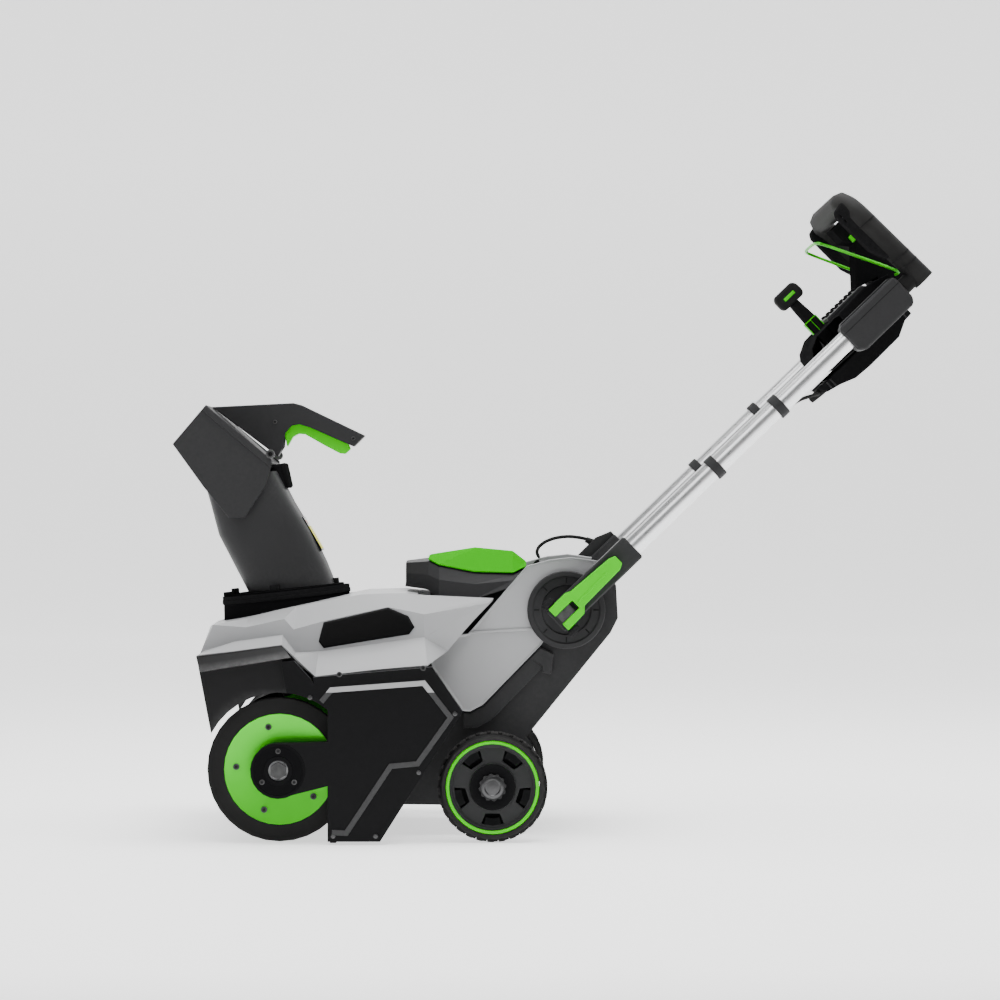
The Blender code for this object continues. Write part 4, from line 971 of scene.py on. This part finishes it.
class BLOWER_OT_controls(bpy.types.Operator):
    """Finish the grip loop, the console, the levers and the cables"""

    bl_idname = "blower.controls"
    bl_label = "Controls"

    def execute(self, context):
        refine("grip_loop", "black_rubber", 0.004, 3, angle=50.0, flat=0.0)
        refine("console", "black_plastic", 0.003, 3)
        refine("control_pod", "black_plastic", 0.003, 3)
        refine("handle_column", "black_plastic", 0.002, 2)
        refine("lock_button", "lime_plastic", 0.0008)
        refine("bail", "lime_wire", 0.0, flat=0.0, rounds=1)
        refine("control_cable", "black_rubber", 0.0, flat=0.0, rounds=1)
        self.loop_seams()
        self.grip_linings()
        self.chute_lever()
        self.gate()
        self.pod_details()
        self.cable_loop()
        return {"FINISHED"}

    def loop_seams(self):
        """Thin bands where the grip's cover ends, above and below each hand."""
        inner, outer = LOOP_R - 0.001, LOOP_R + 0.0006
        profile = [(inner, -0.0008), (outer, -0.0006), (outer, 0.0006), (inner, 0.0008)]
        band = turned("loop_seams", profile, 32)
        lean = turn(1.6, "Y")
        places = [HANDLE @ shift(0.793 - 0.028 * (v + 0.018), TUBE_Y * side, v) @ lean @ turn(90.0, "X")
                  for v in (0.02, 0.038, 0.116) for _, side in SIDES]
        finish_piece(repeat(band, places), "black_plastic", "handle", HERE)

    def grip_linings(self):
        """The dark lining along the inner side of each of the grip's legs, with two slots drawn as glossy
        black patches, which are painted shade.
        """
        shape = [(0.76, 0.08), (0.759, 0.154), (0.764, 0.164), (0.783, 0.168),
                 (0.783, 0.05), (0.77, 0.05)]
        linings = both_sides(plate("grip_linings", shape, 0.184, 0.208))
        finish_piece(linings, "black_plastic", "handle", HANDLE, width=0.0035, segments=3)
        # painted shade: each slot is a thin glossy black patch in place of a cut opening
        slot_shadows = [block("lining_slot_shadows", (0.764, 0.207, v), (0.767, 0.2088, v + 0.006))
                 for v in (0.138, 0.149)]
        finish_piece(both_sides(joined(slot_shadows)), "gloss_black", "handle", HANDLE, width=0.0006)

    def chute_lever(self):
        """The lever that turns the chute: a pinched stem, a rounded knob with a bright bar, and a boot."""
        pivot = HANDLE @ shift(0.637, 0.0, -0.005)
        shape = [(-0.012, 0.006), (0.012, 0.006), (0.0125, 0.042), (0.008, 0.106), (-0.009, 0.106),
                 (-0.0125, 0.042)]
        stem = plate("chute_lever_stem", shape, -0.0085, 0.0085)
        finish_piece(stem, "black_plastic", "chute_lever", pivot, ("chute_lever",), 0.003, 3)
        shape = [(-0.0235, 0.11), (-0.019, 0.104), (0.0205, 0.104), (0.0255, 0.11), (0.025, 0.126),
                 (0.019, 0.1335), (-0.018, 0.1335), (-0.0235, 0.127)]
        knob = plate("chute_lever_knob", shape, -0.0128, 0.0128)
        finish_piece(knob, "black_rubber", "chute_lever", pivot, (), 0.0055, 4)
        bar = block("chute_lever_bar", (-0.01, -0.0133, 0.115), (0.013, 0.0133, 0.1215))
        finish_piece(bar, "lime_plastic", "chute_lever", pivot, width=0.0012)
        edges = [block("chute_lever_edges", low, high) for low, high in (
            ((-0.0134, -0.0094, 0.064), (0.0115, 0.0094, 0.0655)),
            ((-0.0138, -0.0096, 0.038), (-0.0124, 0.0096, 0.0655)),
            ((0.0106, -0.0096, 0.038), (0.012, 0.0096, 0.0655)),
            ((-0.0012, -0.0096, 0.038), (-0.0002, 0.0096, 0.0655)))]
        finish_piece(joined(edges), "lime_plastic", "chute_lever", pivot, width=0.0003)

    def gate(self):
        """A toothed gate plate on the console, with the lever's slot between its two rows of teeth."""
        spots = [(0.656 + 0.0105 * number, row) for row in (-0.03, 0.03) for number in range(7)]
        teeth = [block("gate_teeth", (u, row - 0.01, 0.038), (u + 0.006, row + 0.01, 0.0475))
                 for u, row in spots]
        finish_piece(joined(teeth), "black_plastic", "handle", HANDLE, width=0.0014)
        shape = [(0.648, 0.036), (0.652, 0.044), (0.73, 0.044), (0.736, 0.037)]
        finish_piece(plate("gate_plate", shape, -0.07, 0.07), "charcoal_plastic", "handle", HANDLE,
                     width=0.0018, segments=3)

    def gland(self, name, profile, where):
        """A rubber sleeve where a cable enters a moulding."""
        finish_piece(turned(name, profile, 24), "black_rubber", "handle", where, width=0.0004)

    def pod_details(self):
        """Ribs round the pod's ends, and the cable's gland."""
        ribs = [block("pod_ribs", (u, -0.0606, v), (u + 0.0025, 0.0606, -0.033))
                for u, v in ((0.576, -0.047), (0.584, -0.049), (0.748, -0.0488))]
        finish_piece(joined(ribs), "charcoal_plastic", "handle", HANDLE, width=0.0006)
        profile = [(0.0033, -0.018), (0.0052, -0.018), (0.0058, -0.012), (0.0078, 0.006),
                   (0.0078, 0.01), (0.0033, 0.01)]
        self.gland("cable_gland", profile, HANDLE @ shift(0.558, -0.023, -0.0385) @ turn(-75.0, "Z"))

    def cable_loop(self):
        """The short cable from the deck to the bracket, as a smoothed copy, and a rubber gland near its top.
        """
        piece = merged_copy("cable_loop", rounds=1)
        bpy.ops.object.shade_smooth_by_angle(angle=math.radians(50.0))
        coat(piece, "black_rubber")
        low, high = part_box("cable_loop")
        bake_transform(piece)
        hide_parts("cable_loop")
        profile = [(0.0033, -0.006), (0.005, -0.006), (0.0056, 0.0), (0.007, 0.012), (0.007, 0.016),
                   (0.0033, 0.016)]
        where = shift(high.x - 0.003, TUBE_Y, 0.48) @ turn(-90.0, "Z") @ turn(-25.0, "X")
        self.gland("boot_gland", profile, where)


# ---- stage
class BLOWER_OT_stage(bpy.types.Operator):
    """Make the pale floor, the soft lights and the camera"""

    bl_idname = "blower.stage"
    bl_label = "Stage"

    def execute(self, context):
        stage = context.scene.blower_stage
        self.floor(stage)
        self.light("key_light", (-1.6, -3.6, 3.4), (-0.1, 0.0, 0.4), 2.2, stage.key)
        self.light("top_light", (0.2, -0.2, 3.6), (0.0, 0.0, 0.3), 3.0, stage.top)
        self.light("rim_light", (3.0, 1.2, 2.6), (0.1, 0.0, 0.5), 1.6, stage.key * 0.35)
        world = bpy.data.worlds.new("surround")
        world.use_nodes = True
        backdrop = world.node_tree.nodes["Background"]
        backdrop.inputs["Color"].default_value = (1.0, 1.0, 1.0, 1.0)
        backdrop.inputs["Strength"].default_value = stage.sky
        context.scene.world = world
        bpy.ops.object.camera_add(location=(-0.0799, -5.085, 0.552), rotation=(math.pi / 2, 0.0, 0.0))
        camera = context.object
        camera.name = "studio_camera"
        camera.data.lens = 108.0
        camera.data.sensor_width = 36.0
        context.scene.camera = camera
        return {"FINISHED"}

    def floor(self, stage):
        """A pale floor that curves up into the backdrop behind the machine."""
        clear()
        bpy.ops.mesh.primitive_plane_add(size=30.0, location=(0.0, -6.0, -0.0005))
        floor = fresh("studio_floor")
        with Edit(floor, "EDGE") as edit:
            edit.pick(lambda edge: all(vert.co.y > 3.0 for vert in edge.verts))
            bpy.ops.mesh.extrude_region_move(TRANSFORM_OT_translate={"value": (0.0, 0.0, 12.0)})
            edit.pick(lambda edge: all(vert.co.y > 3.0 and vert.co.z < 1.0 for vert in edge.verts))
            bpy.ops.mesh.bevel(offset=2.2, segments=14, affect="EDGES")
        hold(floor)
        bpy.ops.object.shade_smooth()
        kit = Kit("floor_paint", Emission_Strength=stage.glow, Specular_IOR_Level=0.1)
        speck = kit.noise(3.0, 3.0)
        pale = kit.mix(speck, shade(stage.floor, 0.985), shade(stage.floor, 1.0))
        near = kit.ramp(kit.axis("Y") * 0.25 + 0.75, (0.18, 0.0), (0.36, 1.0))
        kit.paint(Base_Color=pale, Roughness=0.55 + speck * 0.1,
                  Emission_Color=kit.mix(near, (0.0, 0.0, 0.0, 1.0), pale))
        floor.data.materials.append(kit.material)

    def light(self, name, spot, target, size, power):
        """A square soft light at one spot, aimed at another."""
        bpy.ops.object.light_add(type="AREA", location=spot)
        lamp = bpy.context.object
        lamp.name = name
        lamp.data.shape = "SQUARE"
        lamp.data.size = size
        lamp.data.energy = power
        lamp.rotation_euler = (Vector(target) - Vector(spot)).to_track_quat("-Z", "Y").to_euler()


# ---- panel and registration
STEPS = (BLOWER_OT_finishes, BLOWER_OT_housing, BLOWER_OT_rotor, BLOWER_OT_deck, BLOWER_OT_batteries,
         BLOWER_OT_wheels, BLOWER_OT_chute, BLOWER_OT_handle, BLOWER_OT_controls, BLOWER_OT_stage)


class BLOWER_PT_panel(bpy.types.Panel):
    """Lists the steps in the order they are run"""

    bl_idname = "BLOWER_PT_panel"
    bl_label = "Snow blower"
    bl_space_type = "VIEW_3D"
    bl_region_type = "UI"
    bl_category = "Snow blower"

    def draw(self, context):
        scene = context.scene
        for settings in (scene.blower_colours, scene.blower_sizes, scene.blower_stage):
            box = self.layout.box()
            for name in settings.__annotations__:
                box.prop(settings, name)
        for step in STEPS:
            self.layout.operator(step.bl_idname)


GROUPS = (("blower_colours", BlowerColours), ("blower_sizes", BlowerSizes), ("blower_stage", BlowerStage))


def register():
    for name, group in GROUPS:
        bpy.utils.register_class(group)
        setattr(bpy.types.Scene, name, PointerProperty(type=group))
    for step in STEPS + (BLOWER_PT_panel,):
        bpy.utils.register_class(step)


def unregister():
    for step in reversed(STEPS + (BLOWER_PT_panel,)):
        bpy.utils.unregister_class(step)
    for name, group in reversed(GROUPS):
        delattr(bpy.types.Scene, name)
        bpy.utils.unregister_class(group)


def main():
    register()
    for step in STEPS:
        family, name = step.bl_idname.split(".")
        getattr(getattr(bpy.ops, family), name)()


if __name__ == "__main__":
    main()
